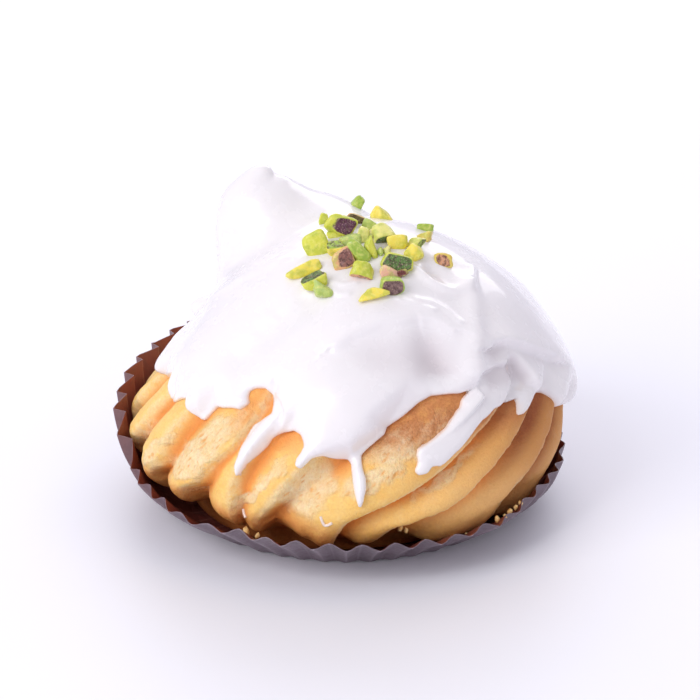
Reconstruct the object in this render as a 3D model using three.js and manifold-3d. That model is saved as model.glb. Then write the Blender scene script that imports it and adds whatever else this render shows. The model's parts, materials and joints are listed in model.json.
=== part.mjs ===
// A cream puff: a ribbed, twisted choux bun in a pleated paper case, under thick white icing that runs
// down in drips, stands up in a soft peak at the back and carries a pinch of chopped pistachio.
// Millimetres, +Z up. The origin is the middle of the case's flat base, on the table, and the front
// looks along -Y. A bearing is an angle round the vertical axis in degrees: 0 is the front, 90 the
// right (+X), 180 the back.

import * as THREE from "three";
import { mergeVertices } from "three/addons/utils/BufferGeometryUtils.js";
import Module from "manifold-3d";

const wasm = await Module();
wasm.setup();

// Driving dimensions
const CASE_BASE_RADIUS = 32.8;
const CASE_PLEATS = 46;
const PAPER = 0.45;
const GAP = 0.3;
const BUN_WIDEST_RADIUS = 42.4;
const BUN_HEIGHT = 50;
const ICING_TOP_THICKNESS = 7;
const ICING_LEAST_THICKNESS = 1.9;

const RAD = Math.PI / 180;
const wrap = (degrees) => ((((degrees + 180) % 360) + 360) % 360) - 180;
const lerp = THREE.MathUtils.lerp;
const smooth = THREE.MathUtils.smoothstep;
const onBearing = (bearing, radius, height) =>
  new THREE.Vector3(radius * Math.sin(bearing * RAD), -radius * Math.cos(bearing * RAD), height);

// A value given at a few bearings, eased between them all the way round.
// Each row is [bearing, value, value, ...].
function roundTable(rows) {
  return (bearing, item = 1) => {
    const b = wrap(bearing);
    let next = rows.findIndex((row) => row[0] > b);
    if (next < 0) next = rows.length;
    const low = rows[(next - 1 + rows.length) % rows.length];
    const high = rows[next % rows.length];
    const span = high[0] - low[0] + (high[0] > low[0] ? 0 : 360);
    const share = (((b - low[0]) % 360) + 360) % 360 / span;
    return lerp(low[item], high[item], smooth(share, 0, 1));
  };
}

// A curve through [x, y] points that gives y for any x.
function heightTable(points) {
  return (x) => {
    if (x <= points[0][0]) return points[0][1];
    for (let i = 1; i < points.length; i++)
      if (x <= points[i][0]) {
        const share = (x - points[i - 1][0]) / (points[i][0] - points[i - 1][0]);
        return lerp(points[i - 1][1], points[i][1], smooth(share, 0, 1));
      }
    return points.at(-1)[1];
  };
}

// A closed solid of rings round the vertical axis: two poles close it, and ringPoint(ring, column)
// gives a point. The rings run from the bottom pole to the top pole over the outside.
function ringSolid(bottomPole, topPole, rings, columns, ringPoint) {
  const points = [bottomPole, topPole];
  for (let ring = 0; ring < rings; ring++) {
    for (let column = 0; column < columns; column++) points.push(ringPoint(ring, column));
  }
  const at = (ring, column) => 2 + ring * columns + (column % columns);
  const faces = [];
  for (let column = 0; column < columns; column++) {
    faces.push(0, at(0, column + 1), at(0, column));
    faces.push(1, at(rings - 1, column), at(rings - 1, column + 1));
    for (let ring = 0; ring < rings - 1; ring++) {
      const [a, b] = [at(ring, column), at(ring, column + 1)];
      const [c, d] = [at(ring + 1, column), at(ring + 1, column + 1)];
      faces.push(a, b, c, b, d, c);
    }
  }
  const geometry = new THREE.BufferGeometry().setFromPoints(points);
  geometry.setIndex(faces);
  return geometry;
}

// A copy with each corner once.
function welded(geometry) {
  return mergeVertices(geometry.clone().deleteAttribute("normal").deleteAttribute("uv"), 1e-4);
}

// Geometry to manifold and back
function toManifold(geometry) {
  const { attributes, index } = welded(geometry);
  const vertProperties = attributes.position.array;
  const triVerts = new Uint32Array(index.array);
  return new wasm.Manifold(new wasm.Mesh({ numProp: 3, vertProperties, triVerts }));
}

function toGeometry(solid) {
  const { vertProperties, triVerts } = solid.getMesh();
  const geometry = new THREE.BufferGeometry();
  geometry.setAttribute("position", new THREE.BufferAttribute(vertProperties, 3));
  geometry.setIndex(new THREE.BufferAttribute(triVerts, 1));
  return geometry;
}

const largestBody = (solid) => solid.decompose().sort((a, b) => b.volume() - a.volume())[0];

// ---- Paper case: a flat base and a wall of pleats, tall at the back left, pressed down in front ----

// The wall is a curve from the base's edge to the rim, drawn towards a shoulder: [bearing, rim radius,
// rim height, shoulder radius, shoulder height, pleat depth at the rim, share of a pleat's short face]
const caseWall = roundTable([
  [-165, 47.2, 24, 46.2, 2.2, 1.9, 0.3],
  [-132, 47.2, 25, 46.2, 2.2, 2.0, 0.28],
  [-110, 47.2, 23.1, 46.2, 2.2, 2.0, 0.28],
  [-88, 47.2, 20, 45.6, 2.4, 2.0, 0.28],
  [-79, 47, 17, 43.8, 2.4, 2.0, 0.3],
  [-71, 45.4, 12.4, 41.8, 2.6, 1.8, 0.36],
  [-63, 45.4, 11, 40.6, 2.9, 1.6, 0.42],
  [-50, 45.4, 10.1, 39, 3.2, 1.4, 0.45],
  [-37, 45.4, 9.2, 38.2, 3.8, 1.3, 0.45],
  [-10, 45.4, 8.9, 38, 4.6, 1.3, 0.45],
  [25, 45.2, 8.3, 38, 4.4, 1.3, 0.45],
  [40, 44.8, 8.8, 38.6, 3.8, 1.4, 0.45],
  [53, 44.4, 10.6, 39.8, 3.2, 1.2, 0.42],
  [72, 44.2, 11, 41.8, 2.6, 1.2, 0.42],
  [92, 44.2, 12, 42.8, 2.4, 1.2, 0.38],
  [120, 45.4, 14.5, 44.4, 2.2, 1.4, 0.34],
  [150, 46.6, 19.5, 45.4, 2.2, 1.9, 0.3],
]);
const PLEAT_START = 0.25; // a pleat's depth just above the base's crease, as a share of that at the rim
const WALL_PAPER = PAPER * 1.15; // the wall's thickness before its folds slant it
const WALL_STEPS = 4;

function makePaper() {
  const columns = CASE_PLEATS * 2;
  const pleat = 360 / CASE_PLEATS;
  const wallPoint = (share, column, inset) => {
    const folded = column % 2;
    const start = Math.floor(column / 2) * pleat;
    const bearing = start + folded * pleat * caseWall(start, 6);
    const [rimRadius, rimHeight] = [caseWall(bearing, 1), caseWall(bearing, 2)];
    const [shoulderRadius, shoulderHeight] = [caseWall(bearing, 3), caseWall(bearing, 4)];
    const [toShoulder, toRim] = [2 * share * (1 - share), share * share];
    const toBase = 1 - toShoulder - toRim;
    const radius = toBase * CASE_BASE_RADIUS + toShoulder * shoulderRadius + toRim * rimRadius;
    const height = toShoulder * shoulderHeight + toRim * rimHeight;
    const outStep = lerp(shoulderRadius - CASE_BASE_RADIUS, rimRadius - shoulderRadius, share);
    const upStep = lerp(shoulderHeight, rimHeight - shoulderHeight, share);
    const fold = share ? folded * caseWall(bearing, 5) * lerp(PLEAT_START, 1, share) : 0;
    const inward = (fold + inset) / Math.hypot(outStep, upStep);
    const lowest = inset ? PAPER : 0;
    return onBearing(bearing, radius - inward * upStep, Math.max(height + inward * outStep, lowest));
  };
  const rings = 2 * (WALL_STEPS + 1);
  const ringPoint = (ring, column) =>
    ring <= WALL_STEPS
      ? wallPoint(ring / WALL_STEPS, column, 0)
      : wallPoint((rings - 1 - ring) / WALL_STEPS, column, WALL_PAPER);
  return ringSolid(new THREE.Vector3(0, 0, 0), new THREE.Vector3(0, 0, PAPER), rings, columns, ringPoint);
}

// ---- Choux bun: a low dome with twenty piped ribs, which overlap like petals and lean to the right ----

// Mean outline as [radius, height], and how far the dome's middle lies to the right at a height.
const bunProfile = new THREE.SplineCurve(
  [
    [0, PAPER + GAP],
    [18, PAPER + GAP],
    [28.6, 0.9],
    [31.2, 2.6],
    [33.6, 4.3],
    [37.4, 5.6],
    [39.9, 8],
    [41.5, 12],
    [BUN_WIDEST_RADIUS, 16.5],
    [41.7, 21.5],
    [39.3, 27],
    [35.5, 33],
    [29.8, 39.5],
    [21.8, 45],
    [11.8, 48.6],
    [0, BUN_HEIGHT],
  ].map(([radius, height]) => new THREE.Vector2(radius, height)),
);
const domeShift = heightTable([
  [8, -1.4],
  [17, -0.3],
  [31, 2.4],
  [42, 2.6],
]);

// The feet of the ribs stand up by different amounts: [bearing, lift]
const footLift = roundTable([
  [-150, 3],
  [-95, 3],
  [-75, 3.6],
  [-62, 3.6],
  [-46, 4.2],
  [-33, 3.6],
  [-25, 1.9],
  [-20, 2.4],
  [-14, 2.9],
  [-9, 2.5],
  [-4, 1.2],
  [4, 1.2],
  [12, 2],
  [20, 1.2],
  [27, 0.1],
  [45, 0],
  [60, -0.3],
  [90, -0.3],
  [120, 1],
]);
const LIFT_START = [1, 4];
const LIFT_END = [7.5, 19];

// The dome is drawn in at its middle heights, mostly at the back left: [bearing, amount]
const drawnIn = roundTable([
  [-155, 1.8],
  [-132, 2.7],
  [-112, 2.2],
  [-90, 0.9],
  [-62, 0],
  [45, 0],
  [70, 0.3],
  [95, 0.4],
  [120, 0],
  [175, 0.8],
]);
const DRAWN_START = [17, 27];
const DRAWN_END = [42, BUN_HEIGHT];

function domePoint(bearing, radius, height) {
  const lift = smooth(height, ...LIFT_START) * (1 - smooth(height, ...LIFT_END));
  const middle = smooth(height, ...DRAWN_START) * (1 - smooth(height, ...DRAWN_END));
  const point = onBearing(bearing, radius - drawnIn(bearing) * middle, height + footLift(bearing) * lift);
  point.x += domeShift(height);
  return point;
}

// Each rib overlaps the next one with a sharp edge: the edge's bearings at the levels, and the share of
// the next rib that the drop behind the edge takes.
const RIB_LEVELS = [2, 9, 14, 20, 26, 32, 42];
const RIBS = [
  [-95, -94, -92, -89, -86, -83, -80, 0.2],
  [-83, -81, -78, -72, -68.7, -66, -62, 0.2],
  [-64, -62, -58.5, -56.4, -54.2, -51, -47, 0.2],
  [-49, -46.5, -43, -37.5, -32.6, -29, -25, 0.3],
  [-29.5, -28.6, -28.6, -28.6, -27.4, -23, -17, 0.22],
  [-24.5, -22.2, -19.3, -15.7, -8.5, 0, 8, 0.2],
  [-3, -0.3, 4, 19.5, 32.3, 48, 66, 0.14],
  [8, 13.5, 26.5, 39.7, 51.6, 66, 84, 0.16],
  [44, 46.3, 50.3, 62.6, 75.5, 87, 104, 0.2],
  [56, 66, 75.5, 84, 94, 105, 120, 0.2],
  [76, 84, 93, 103, 113, 123, 138, 0.2],
  [95, 102, 111, 121, 131, 141, 156, 0.2],
  [114, 121, 129, 139, 149, 159, 173, 0.2],
  [134, 140, 148, 157, 167, 176, 190, 0.2],
  [153, 159, 166, 175, 184, 193, 206, 0.2],
  [172, 177, 184, 192, 200, 208, 220, 0.2],
  [192, 196, 202, 209, 216, 223, 233, 0.2],
  [212, 215, 220, 226, 232, 238, 246, 0.2],
  [232, 234, 238, 242, 246, 250, 257, 0.2],
  [249, 251, 253, 257, 260, 263, 268, 0.2],
];
const FULL_RIB_SPAN = 17; // degrees between edges from which a rib has its full depth
const CREST_SHARE = 0.36; // share of a rib's depth that stands out of the mean outline
const EDGE_HEIGHT = 0.85; // height of the sharp edge, as a share of the rib's highest line
const DROP_BEND = 1.4; // how hollow the drop behind the edge is
const ribDepth = heightTable([
  [1, 0],
  [4, 0.6],
  [5.6, 3.4],
  [9, 4.1],
  [16, 3.9],
  [24, 3.4],
  [32, 2.2],
  [40, 1],
  [47, 0],
]);

const ribEdges = RIBS.map((rib) => {
  const places = RIB_LEVELS.map((level, i) => new THREE.Vector2(level, rib[i]));
  return new THREE.SplineCurve(places).getPoints(60);
});

function edgeBearing(rib, height) {
  const edge = ribEdges[rib % RIBS.length];
  const turn = rib >= RIBS.length ? 360 : 0;
  if (height <= edge[0].x) return edge[0].y + turn;
  const next = edge.findIndex((place) => place.x > height);
  if (next < 0) return edge.at(-1).y + turn;
  const [low, high] = [edge[next - 1], edge[next]];
  return lerp(low.y, high.y, (height - low.x) / (high.x - low.x)) + turn;
}

// Where a rib's columns stand, in drops behind the edge up to 1 and from there in shares of the rise.
const RIB_COLUMNS = [0, 0.5, 1, 1.3, 1.72];
const RISE_END = 0.8; // share of the rise at which the rib stands highest

function columnShare(column, drop) {
  const place = RIB_COLUMNS[column];
  return place < 1 ? place * drop : drop + (place - 1) * (1 - drop);
}

function ribHeight(share, drop) {
  if (share < drop) return EDGE_HEIGHT * (1 - share / drop) ** DROP_BEND;
  const risen = (share - drop) / (1 - drop);
  const past = Math.max(0, (risen - RISE_END) / (1 - RISE_END));
  return Math.sin(0.5 * Math.PI * Math.min(1, risen / RISE_END)) - (1 - EDGE_HEIGHT) * past ** 2;
}

const BUN_RINGS = 20;
const BUN_FIRST_RING = 2.6; // ring spaces that the flat underside takes
const bunRingShare = (ring) => (ring + BUN_FIRST_RING) / (BUN_RINGS + 3);

function makeBun(grow) {
  const columns = RIB_COLUMNS.length;
  const ringPoint = (ring, column) => {
    const share = bunRingShare(ring);
    const { x: radius, y: height } = bunProfile.getPointAt(share);
    const tangent = bunProfile.getTangentAt(share);
    const rib = Math.floor(column / columns);
    const drop = RIBS[rib].at(-1);
    const across = columnShare(column % columns, drop);
    const edge = edgeBearing(rib, height);
    const span = edgeBearing(rib + 1, height) - edge;
    const depth = ribDepth(height) * Math.min(1, span / FULL_RIB_SPAN);
    const out = depth * (ribHeight(across, drop) - 1 + CREST_SHARE) + grow;
    return domePoint(edge + across * span, radius + out * tangent.y, height - out * tangent.x);
  };
  const bottom = new THREE.Vector3(0, 0, PAPER + GAP - grow);
  const top = domePoint(0, 0, BUN_HEIGHT + grow);
  return ringSolid(bottom, top, BUN_RINGS, RIBS.length * columns, ringPoint);
}

// ---- Icing: a thick cap over the dome with an uneven rounded edge, drips, a peak and the pistachio ----

// Directions over the dome are a bearing and a slope, the angle above the horizon seen from the
// middle of the bun.
const MIDDLE = 17;
const domeSamples = bunProfile.getSpacedPoints(160).filter((p) => p.y > 8);

// Distance from the middle to the mean surface of the bun at a slope.
function domeRadius(slope) {
  let best = domeSamples[0];
  let error = Infinity;
  for (const p of domeSamples) {
    const off = Math.abs(Math.atan2(p.y - MIDDLE, p.x) / RAD - slope);
    if (off < error) [best, error] = [p, off];
  }
  return Math.hypot(best.x, best.y - MIDDLE);
}

// The lower edge: [bearing, slope of the edge, thickness of the icing above it]
const icingEdge = roundTable([
  [-170, 14, 3.2],
  [-150, 20, 2.6],
  [-132, 12, 3.2],
  [-112, 20, 2.6],
  [-92, 15, 2.2],
  [-79, 16.5, 2.0],
  [-70, 21, 2.0],
  [-64, 14.5, 1.8],
  [-55, 19.5, 1.8],
  [-36, 20, 2.0],
  [-29, 27, 2.4],
  [-21, 16.5, 2.4],
  [-10, 13, 2.6],
  [-2, 11, 2.8],
  [6, 17, 2.8],
  [16, 24.5, 2.6],
  [34, 25.5, 2.8],
  [49, 19.7, 3.4],
  [60, 18.5, 3.6],
  [67, 13, 3.9],
  [84, 7, 4.0],
  [100, 9, 3.9],
  [118, 18, 3.6],
  [136, 11, 3.6],
  [155, 18, 3.2],
]);

// Broad swells and hollows: [bearing, slope, half width, half height, rise], in degrees and mm.
const SWELLS = [
  [-6, 24, 13, 14, 1.0],
  [-34, 42, 11, 20, -0.9],
  [25, 34, 8, 8, -1.6],
  [8, 38, 13, 6, -0.8],
  [66, 38, 14, 14, 0.6],
  [-60, 30, 14, 9, 0.5],
  [-92, 30, 16, 9, -1.0],
  [120, 34, 20, 16, 0.7],
  [165, 30, 20, 14, -0.7],
  [-120, 30, 18, 12, -0.4],
];

function icingThickness(bearing, slope) {
  const edge = icingEdge(bearing, 2);
  let thickness = lerp(edge, ICING_TOP_THICKNESS, smooth(slope, 35, 90));
  for (const [b, s, halfWidth, halfHeight, rise] of SWELLS) {
    const away = (wrap(bearing - b) / halfWidth) ** 2 + ((slope - s) / halfHeight) ** 2;
    thickness += rise * Math.exp(-away) * smooth(90 - slope, 0, 15);
  }
  return Math.max(thickness, ICING_LEAST_THICKNESS);
}

// The point at a direction and a distance outside the mean surface of the bun.
function aboveDome(bearing, slope, rise) {
  const distance = domeRadius(slope) + rise;
  return domePoint(bearing, distance * Math.cos(slope * RAD), MIDDLE + distance * Math.sin(slope * RAD));
}

// The point at a share of the icing's thickness.
function icingPoint(bearing, slope, share = 1) {
  return aboveDome(bearing, slope, icingThickness(bearing, slope) * share);
}

const CAP_COLUMNS = 92;
const CAP_RINGS = 10;
const CAP_CORE_RADIUS = 26; // the cap is solid down to here, inside the bun
const CAP_CORE_HEIGHT = 27;
const CAP_EDGE = [[0, 0.2], [1.2, 0.8]]; // the rounded edge: [slope above the edge, share of the thickness]
const CAP_EDGE_END = 3.5;

function makeCap() {
  const ringPoint = (ring, column) => {
    const bearing = (column * 360) / CAP_COLUMNS;
    const edge = icingEdge(bearing, 1);
    if (ring === 0) return onBearing(bearing, CAP_CORE_RADIUS, CAP_CORE_HEIGHT);
    if (ring <= CAP_EDGE.length) {
      const [above, share] = CAP_EDGE[ring - 1];
      return icingPoint(bearing, edge + above, share);
    }
    const share = (ring - 3) / (CAP_RINGS - 3);
    return icingPoint(bearing, lerp(edge + CAP_EDGE_END, 90, share));
  };
  const bottom = new THREE.Vector3(0, 0, CAP_CORE_HEIGHT);
  const top = icingPoint(0, 90);
  return ringSolid(bottom, top, CAP_RINGS, CAP_COLUMNS, ringPoint);
}

// Runs of icing down the bun, each a row of points [bearing, slope, half width].
const DRIPS = [
  [[-25, 20, 2.2], [-27.5, 13.5, 2.0], [-28.4, 9.5, 1.4], [-29, 4.8, 0.6]],
  [[-50, 19, 1.6], [-49.8, 13.6, 1.0]],
  [[-13.2, 14, 1.1], [-13.7, 9.3, 0.7]],
  [[0.5, 13, 1.2], [2.8, 6.3, 0.9], [3.5, 0, 0.5]],
  [[54, 26, 4.0], [41, 21, 3.0], [29.5, 16, 2.6], [22.5, 12, 2.2], [18, 8.3, 1.4]],
  [[57.5, 20, 1.6], [50, 15.2, 0.8]],
];
const DRIP_LIFT = 0.9; // how far the middle of a drip stands out of the bun's mean surface
const DRIP_SIDES = 8;

// A blunt sausage through the points, as one ring solid turned along the path.
function makeDrip(points) {
  const path = new THREE.CatmullRomCurve3(
    points.map(([bearing, slope]) => aboveDome(bearing, slope, DRIP_LIFT)),
  );
  const steps = points.length * 2;
  const frames = path.computeFrenetFrames(steps, false);
  const widths = points.map((p) => p[2]);
  const ringPoint = (ring, column) => {
    const share = ring / steps;
    const place = path.getPointAt(share);
    const along = share * (widths.length - 1);
    const index = Math.min(Math.floor(along), widths.length - 2);
    const half = lerp(widths[index], widths[index + 1], along - index);
    const angle = (column * 2 * Math.PI) / DRIP_SIDES;
    return place
      .addScaledVector(frames.normals[ring], half * Math.cos(angle))
      .addScaledVector(frames.binormals[ring], half * Math.sin(angle));
  };
  const start = path.getPointAt(0).addScaledVector(frames.tangents[0], -0.6 * widths[0]);
  const end = path.getPointAt(1).addScaledVector(frames.tangents[steps], 0.6 * widths.at(-1));
  return ringSolid(start, end, steps + 1, DRIP_SIDES, ringPoint);
}

// The soft peak behind the pistachio: rings up a leaning spine, [across, height, half width, half depth].
const PEAK_BACK = 14.5;
const PEAK_RINGS = [
  [-9.5, 36, 12, 9.5],
  [-9.5, 41, 16.5, 12.6],
  [-9.8, 47, 17, 13],
  [-10.2, 52, 15.9, 12.2],
  [-10.6, 56, 14.2, 10.6],
  [-11.8, 58.4, 11.8, 8.6],
  [-15, 60.6, 7.4, 6],
  [-16.8, 62.6, 3.8, 3.4],
];
const PEAK_TIP = [-16.6, 64.4];
const PEAK_SIDES = 22;

function makePeak() {
  const ringPoint = (ring, column) => {
    const [x, z, halfWidth, halfDepth] = PEAK_RINGS[ring];
    const side = onBearing((column * 360) / PEAK_SIDES, 1, 0);
    return new THREE.Vector3(x + side.x * halfWidth, PEAK_BACK + side.y * halfDepth, z);
  };
  const bottom = new THREE.Vector3(PEAK_RINGS[0][0], PEAK_BACK, PEAK_RINGS[0][1] - 2);
  const top = new THREE.Vector3(PEAK_TIP[0], PEAK_BACK, PEAK_TIP[1]);
  return ringSolid(bottom, top, PEAK_RINGS.length, PEAK_SIDES, ringPoint);
}

// Chopped pistachio, pressed into the icing on top: each piece is [across, back, height, length].
const PISTACHIO = [
  [2.0, 12.1, 57.1, 3.2], [-4.5, 5.2, 56.7, 2.0], [-1.2, -0.9, 57.1, 5.3],
  [-2.1, -4.1, 56.3, 3.5], [1.4, 3.4, 56.8, 4.4], [6.3, 1.0, 57.4, 3.9],
  [4.3, -1.0, 56.9, 2.7], [7.3, -6.1, 56.7, 4.1], [3.3, -4.9, 56.5, 2.7],
  [4.7, -4.5, 56.4, 2.0], [-5.7, -8.4, 54.8, 5.2], [-2.3, -10.1, 55.0, 2.9],
  [0.6, -7.4, 56.1, 3.3], [1.9, -12.3, 55.1, 4.0], [4.6, -10.6, 55.4, 4.2],
  [-0.7, -14.7, 54.5, 4.2], [9.8, -7.4, 55.5, 3.5], [7.8, -10.3, 54.9, 2.0],
  [6.5, -10.8, 54.8, 2.0], [12.6, -10.2, 54.2, 2.9], [13.7, -5.6, 55.0, 2.7],
  [15.9, 9.9, 52.9, 3.0], [15.2, -2.0, 54.8, 2.7], [9.5, -13.2, 54.0, 5.3],
  [7.6, -16.6, 52.6, 2.8], [10.2, -15.9, 52.3, 2.1], [8.4, -20.2, 51.2, 4.1],
  [3.2, -16.6, 53.2, 4.1], [-7.9, -13.8, 52.2, 5.9], [-5.8, -17.3, 51.2, 4.0],
  [-4.6, -20.0, 50.2, 3.9], [5.1, -22.3, 50.0, 5.0], [18.4, -9.7, 52.7, 3.8],
];
const PISTACHIO_WIDTH = 0.78; // as a share of the length
const PISTACHIO_THICKNESS = 0.62; // likewise
const PISTACHIO_ROUGHNESS = 0.3; // how far corners are pushed out, as a share of the size

// A seeded draw between 0 and 1.
let drawState = 20;
function draw() {
  drawState = (drawState * 16807) % 2147483647;
  return drawState / 2147483647;
}

// A chopped piece: twenty flat faces with their corners pushed in and out, turned any way.
function makePistachio(length) {
  const piece = welded(new THREE.IcosahedronGeometry(1, 0));
  const corners = piece.attributes.position;
  for (let i = 0; i < corners.count; i++) {
    const push = 1 + PISTACHIO_ROUGHNESS * draw();
    corners.setXYZ(i, corners.getX(i) * push, corners.getY(i) * push, corners.getZ(i) * push);
  }
  piece.scale(length / 2, (length * PISTACHIO_WIDTH) / 2, (length * PISTACHIO_THICKNESS) / 2);
  piece.rotateX(draw() * 2 * Math.PI);
  piece.rotateZ(draw() * 2 * Math.PI);
  return piece;
}

const group = new THREE.Group();
const finish = {
  paper_case: { color: 0x4a2c26, roughness: 0.75 },
  choux_bun: { color: 0xe0a45c, roughness: 0.7 },
  icing: { color: 0xf2eff2, roughness: 0.25 },
};

function addPiece(name, geometry) {
  geometry.computeVertexNormals();
  const mesh = new THREE.Mesh(geometry, new THREE.MeshStandardMaterial({ ...finish[name], metalness: 0 }));
  mesh.name = name;
  group.add(mesh);
}

function makeIcing() {
  let icing = toManifold(makeCap());
  for (const points of DRIPS) icing = icing.add(toManifold(makeDrip(points)));
  icing = icing.add(toManifold(makePeak()));
  icing = icing.subtract(toManifold(makeBun(GAP)));
  for (const [x, y, z, length] of PISTACHIO) {
    icing = icing.add(toManifold(makePistachio(length).translate(x, y, z)));
  }
  return toGeometry(largestBody(icing));
}

addPiece("paper_case", makePaper());
addPiece("choux_bun", makeBun(0));
addPiece("icing", makeIcing());

export default group;
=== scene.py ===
import json
import math

import bmesh
import bpy
import numpy as np
from mathutils import Matrix, Vector

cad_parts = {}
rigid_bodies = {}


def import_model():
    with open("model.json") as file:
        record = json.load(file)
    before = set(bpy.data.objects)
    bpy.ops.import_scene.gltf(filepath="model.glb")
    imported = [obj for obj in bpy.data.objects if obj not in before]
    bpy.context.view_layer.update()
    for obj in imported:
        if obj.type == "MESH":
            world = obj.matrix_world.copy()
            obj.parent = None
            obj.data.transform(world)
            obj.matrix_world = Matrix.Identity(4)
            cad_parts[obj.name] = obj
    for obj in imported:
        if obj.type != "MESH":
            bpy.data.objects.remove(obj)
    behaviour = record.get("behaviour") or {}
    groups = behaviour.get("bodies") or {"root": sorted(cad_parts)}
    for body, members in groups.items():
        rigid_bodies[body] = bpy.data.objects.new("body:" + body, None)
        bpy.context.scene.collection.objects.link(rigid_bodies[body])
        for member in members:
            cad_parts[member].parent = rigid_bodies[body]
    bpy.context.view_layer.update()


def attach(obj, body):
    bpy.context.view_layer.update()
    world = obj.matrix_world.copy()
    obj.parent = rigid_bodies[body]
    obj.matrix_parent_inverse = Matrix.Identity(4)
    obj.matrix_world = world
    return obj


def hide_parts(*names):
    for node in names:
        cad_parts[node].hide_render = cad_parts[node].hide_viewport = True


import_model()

# ---------------------------------------------------------------- paper case
# The baking case is one disc of thin dark brown paper, pressed into a flat round base and a wall of
# sharp pleats. The bun's weight has spread it: the wall stands at the back left and lies low in front.
# The outside of the paper is a dull mauve grey, and the inside is brown and a little greasy.

CASE_BASE_RADIUS = 32.8  # mm, as all sizes below
CASE_BASE_ROWS = (0.02, 0.5, 0.86, 0.95)  # rings over the flat base, as shares of its radius
CASE_FLAT_END = -0.03  # height mark up to which the base keeps flat
CASE_PLEATS = 46
CASE_PAPER = 0.14
CASE_CLEAR = 0.02  # height of the paper over the table
CASE_WALL_ROWS = 16
CASE_SHORT_STEPS = 3  # steps over the short face of a pleat
CASE_LONG_STEPS = 6
CASE_CREASE_DEPTH = 0.4
CASE_ROUNDED = (0.18, 0.36)  # shares of the short face at which creases turn from sharp to round
CASE_CREASE_STRAY = 0.14  # how far a crease strays, in pleats
CASE_DEPTH_STRAY = 0.22  # share by which the depth of the pleats varies
CASE_RIM_STRAY = (0.3, 0.45)  # how far the rim rises and falls, pleat by pleat and over longer stretches
CASE_LEAN_STRAY = 0.4  # how far the rim strays in and out

# bearing, rim radius, rim height, shoulder radius, shoulder height, depth of the pleats at the rim,
# share of a pleat taken by its short face
CASE_WALL = [
    (-165, 47.2, 24, 46.2, 2.2, 2.2, 0.2), (-132, 47.2, 25, 46.2, 2.2, 1.8, 0.16),
    (-110, 47.2, 23.1, 46.2, 2.2, 2.2, 0.16), (-88, 47.2, 20, 45.6, 2.4, 2.4, 0.16),
    (-79, 47.0, 17.0, 43.8, 2.4, 2.4, 0.2), (-71, 45.4, 12.4, 41.8, 2.6, 2.0, 0.32),
    (-63, 45.4, 11.0, 40.6, 2.9, 1.6, 0.42), (-50, 45.4, 10.1, 39.0, 3.2, 1.4, 0.45),
    (-37, 45.4, 9.2, 38.2, 3.8, 1.3, 0.45), (-10, 45.4, 8.9, 38.0, 4.6, 1.3, 0.45),
    (25, 45.2, 8.3, 38.0, 4.4, 1.3, 0.45), (40, 44.8, 8.8, 38.6, 3.8, 1.4, 0.45),
    (53, 44.4, 10.6, 39.8, 3.2, 1.2, 0.42), (72, 44.2, 11, 41.8, 2.6, 1.2, 0.42),
    (92, 44.2, 12, 42.8, 2.4, 1.3, 0.36), (120, 45.4, 14.5, 44.4, 2.2, 1.5, 0.3),
    (150, 46.6, 19.5, 45.4, 2.2, 2.1, 0.24),
]
GRAIN_MIX = np.array([374761393, 668265263, 1103515245])  # odd numbers that scatter the noise's cells


def eased(share):
    """A share from 0 to 1 with a soft start and end."""
    return share * share * (3 - 2 * share)


def ramp(value, low, high):
    """0 below the first value, 1 above the second, eased between."""
    return eased(np.clip((value - low) / (high - low), 0, 1))


def all_round(rows, bearing, item=1):
    """A value that a table gives at a few bearings, eased between them all the way round."""
    table = np.array(sorted(rows), float)
    starts = np.append(table[:, 0], table[0, 0] + 360)
    values = np.append(table[:, item], table[0, item])
    turned = (np.asarray(bearing, float) - starts[0]) % 360 + starts[0]
    row = np.clip(np.searchsorted(starts, turned, side="right") - 1, 0, len(starts) - 2)
    share = (turned - starts[row]) / (starts[row + 1] - starts[row])
    return values[row] + (values[row + 1] - values[row]) * eased(share)


def grain(points, size, seed):
    """Soft seeded noise between -1 and 1 at points in mm, with lumps about `size` mm wide."""
    scaled = np.asarray(points, float) / size + 1000.0
    cell = np.floor(scaled).astype(np.int64)
    share = eased(scaled - cell)
    total = 0
    for corner in range(8):
        step = np.array([corner & 1, (corner >> 1) & 1, corner >> 2])
        at = cell + step
        mixed = at @ GRAIN_MIX + seed * 974711
        mixed = ((mixed ^ (mixed >> 13)) * 1274126177) & 0xFFFFFFFF
        draw = ((mixed ^ (mixed >> 16)) & 0xFFFF) / 32767.5 - 1
        weight = np.prod(np.where(step == 1, share, 1 - share), axis=-1)
        total = total + draw * weight
    return total


def new_piece(name, points_mm, faces, smooth=True, marks=None):
    """A mesh object from points in mm, with its marks kept as point attributes for the material."""
    mesh = bpy.data.meshes.new(name)
    points = np.asarray(points_mm, np.float32) * 0.001
    faces = np.asarray(faces, np.int32)
    corners = faces.shape[1]
    mesh.vertices.add(len(points))
    mesh.vertices.foreach_set("co", points.ravel())
    mesh.loops.add(faces.size)
    mesh.loops.foreach_set("vertex_index", faces.ravel())
    mesh.polygons.add(len(faces))
    mesh.polygons.foreach_set("loop_start", np.arange(0, faces.size, corners, dtype=np.int32))
    mesh.update(calc_edges=True)
    mesh.polygons.foreach_set("use_smooth", np.full(len(faces), smooth))
    for mark, values in (marks or {}).items():
        kind, field = ("FLOAT_VECTOR", "vector") if np.ndim(values) == 2 else ("FLOAT", "value")
        layer = mesh.attributes.new(mark, kind, "POINT")
        layer.data.foreach_set(field, np.asarray(values, np.float32).ravel())
    piece = bpy.data.objects.new(name, mesh)
    bpy.context.scene.collection.objects.link(piece)
    return piece


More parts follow.
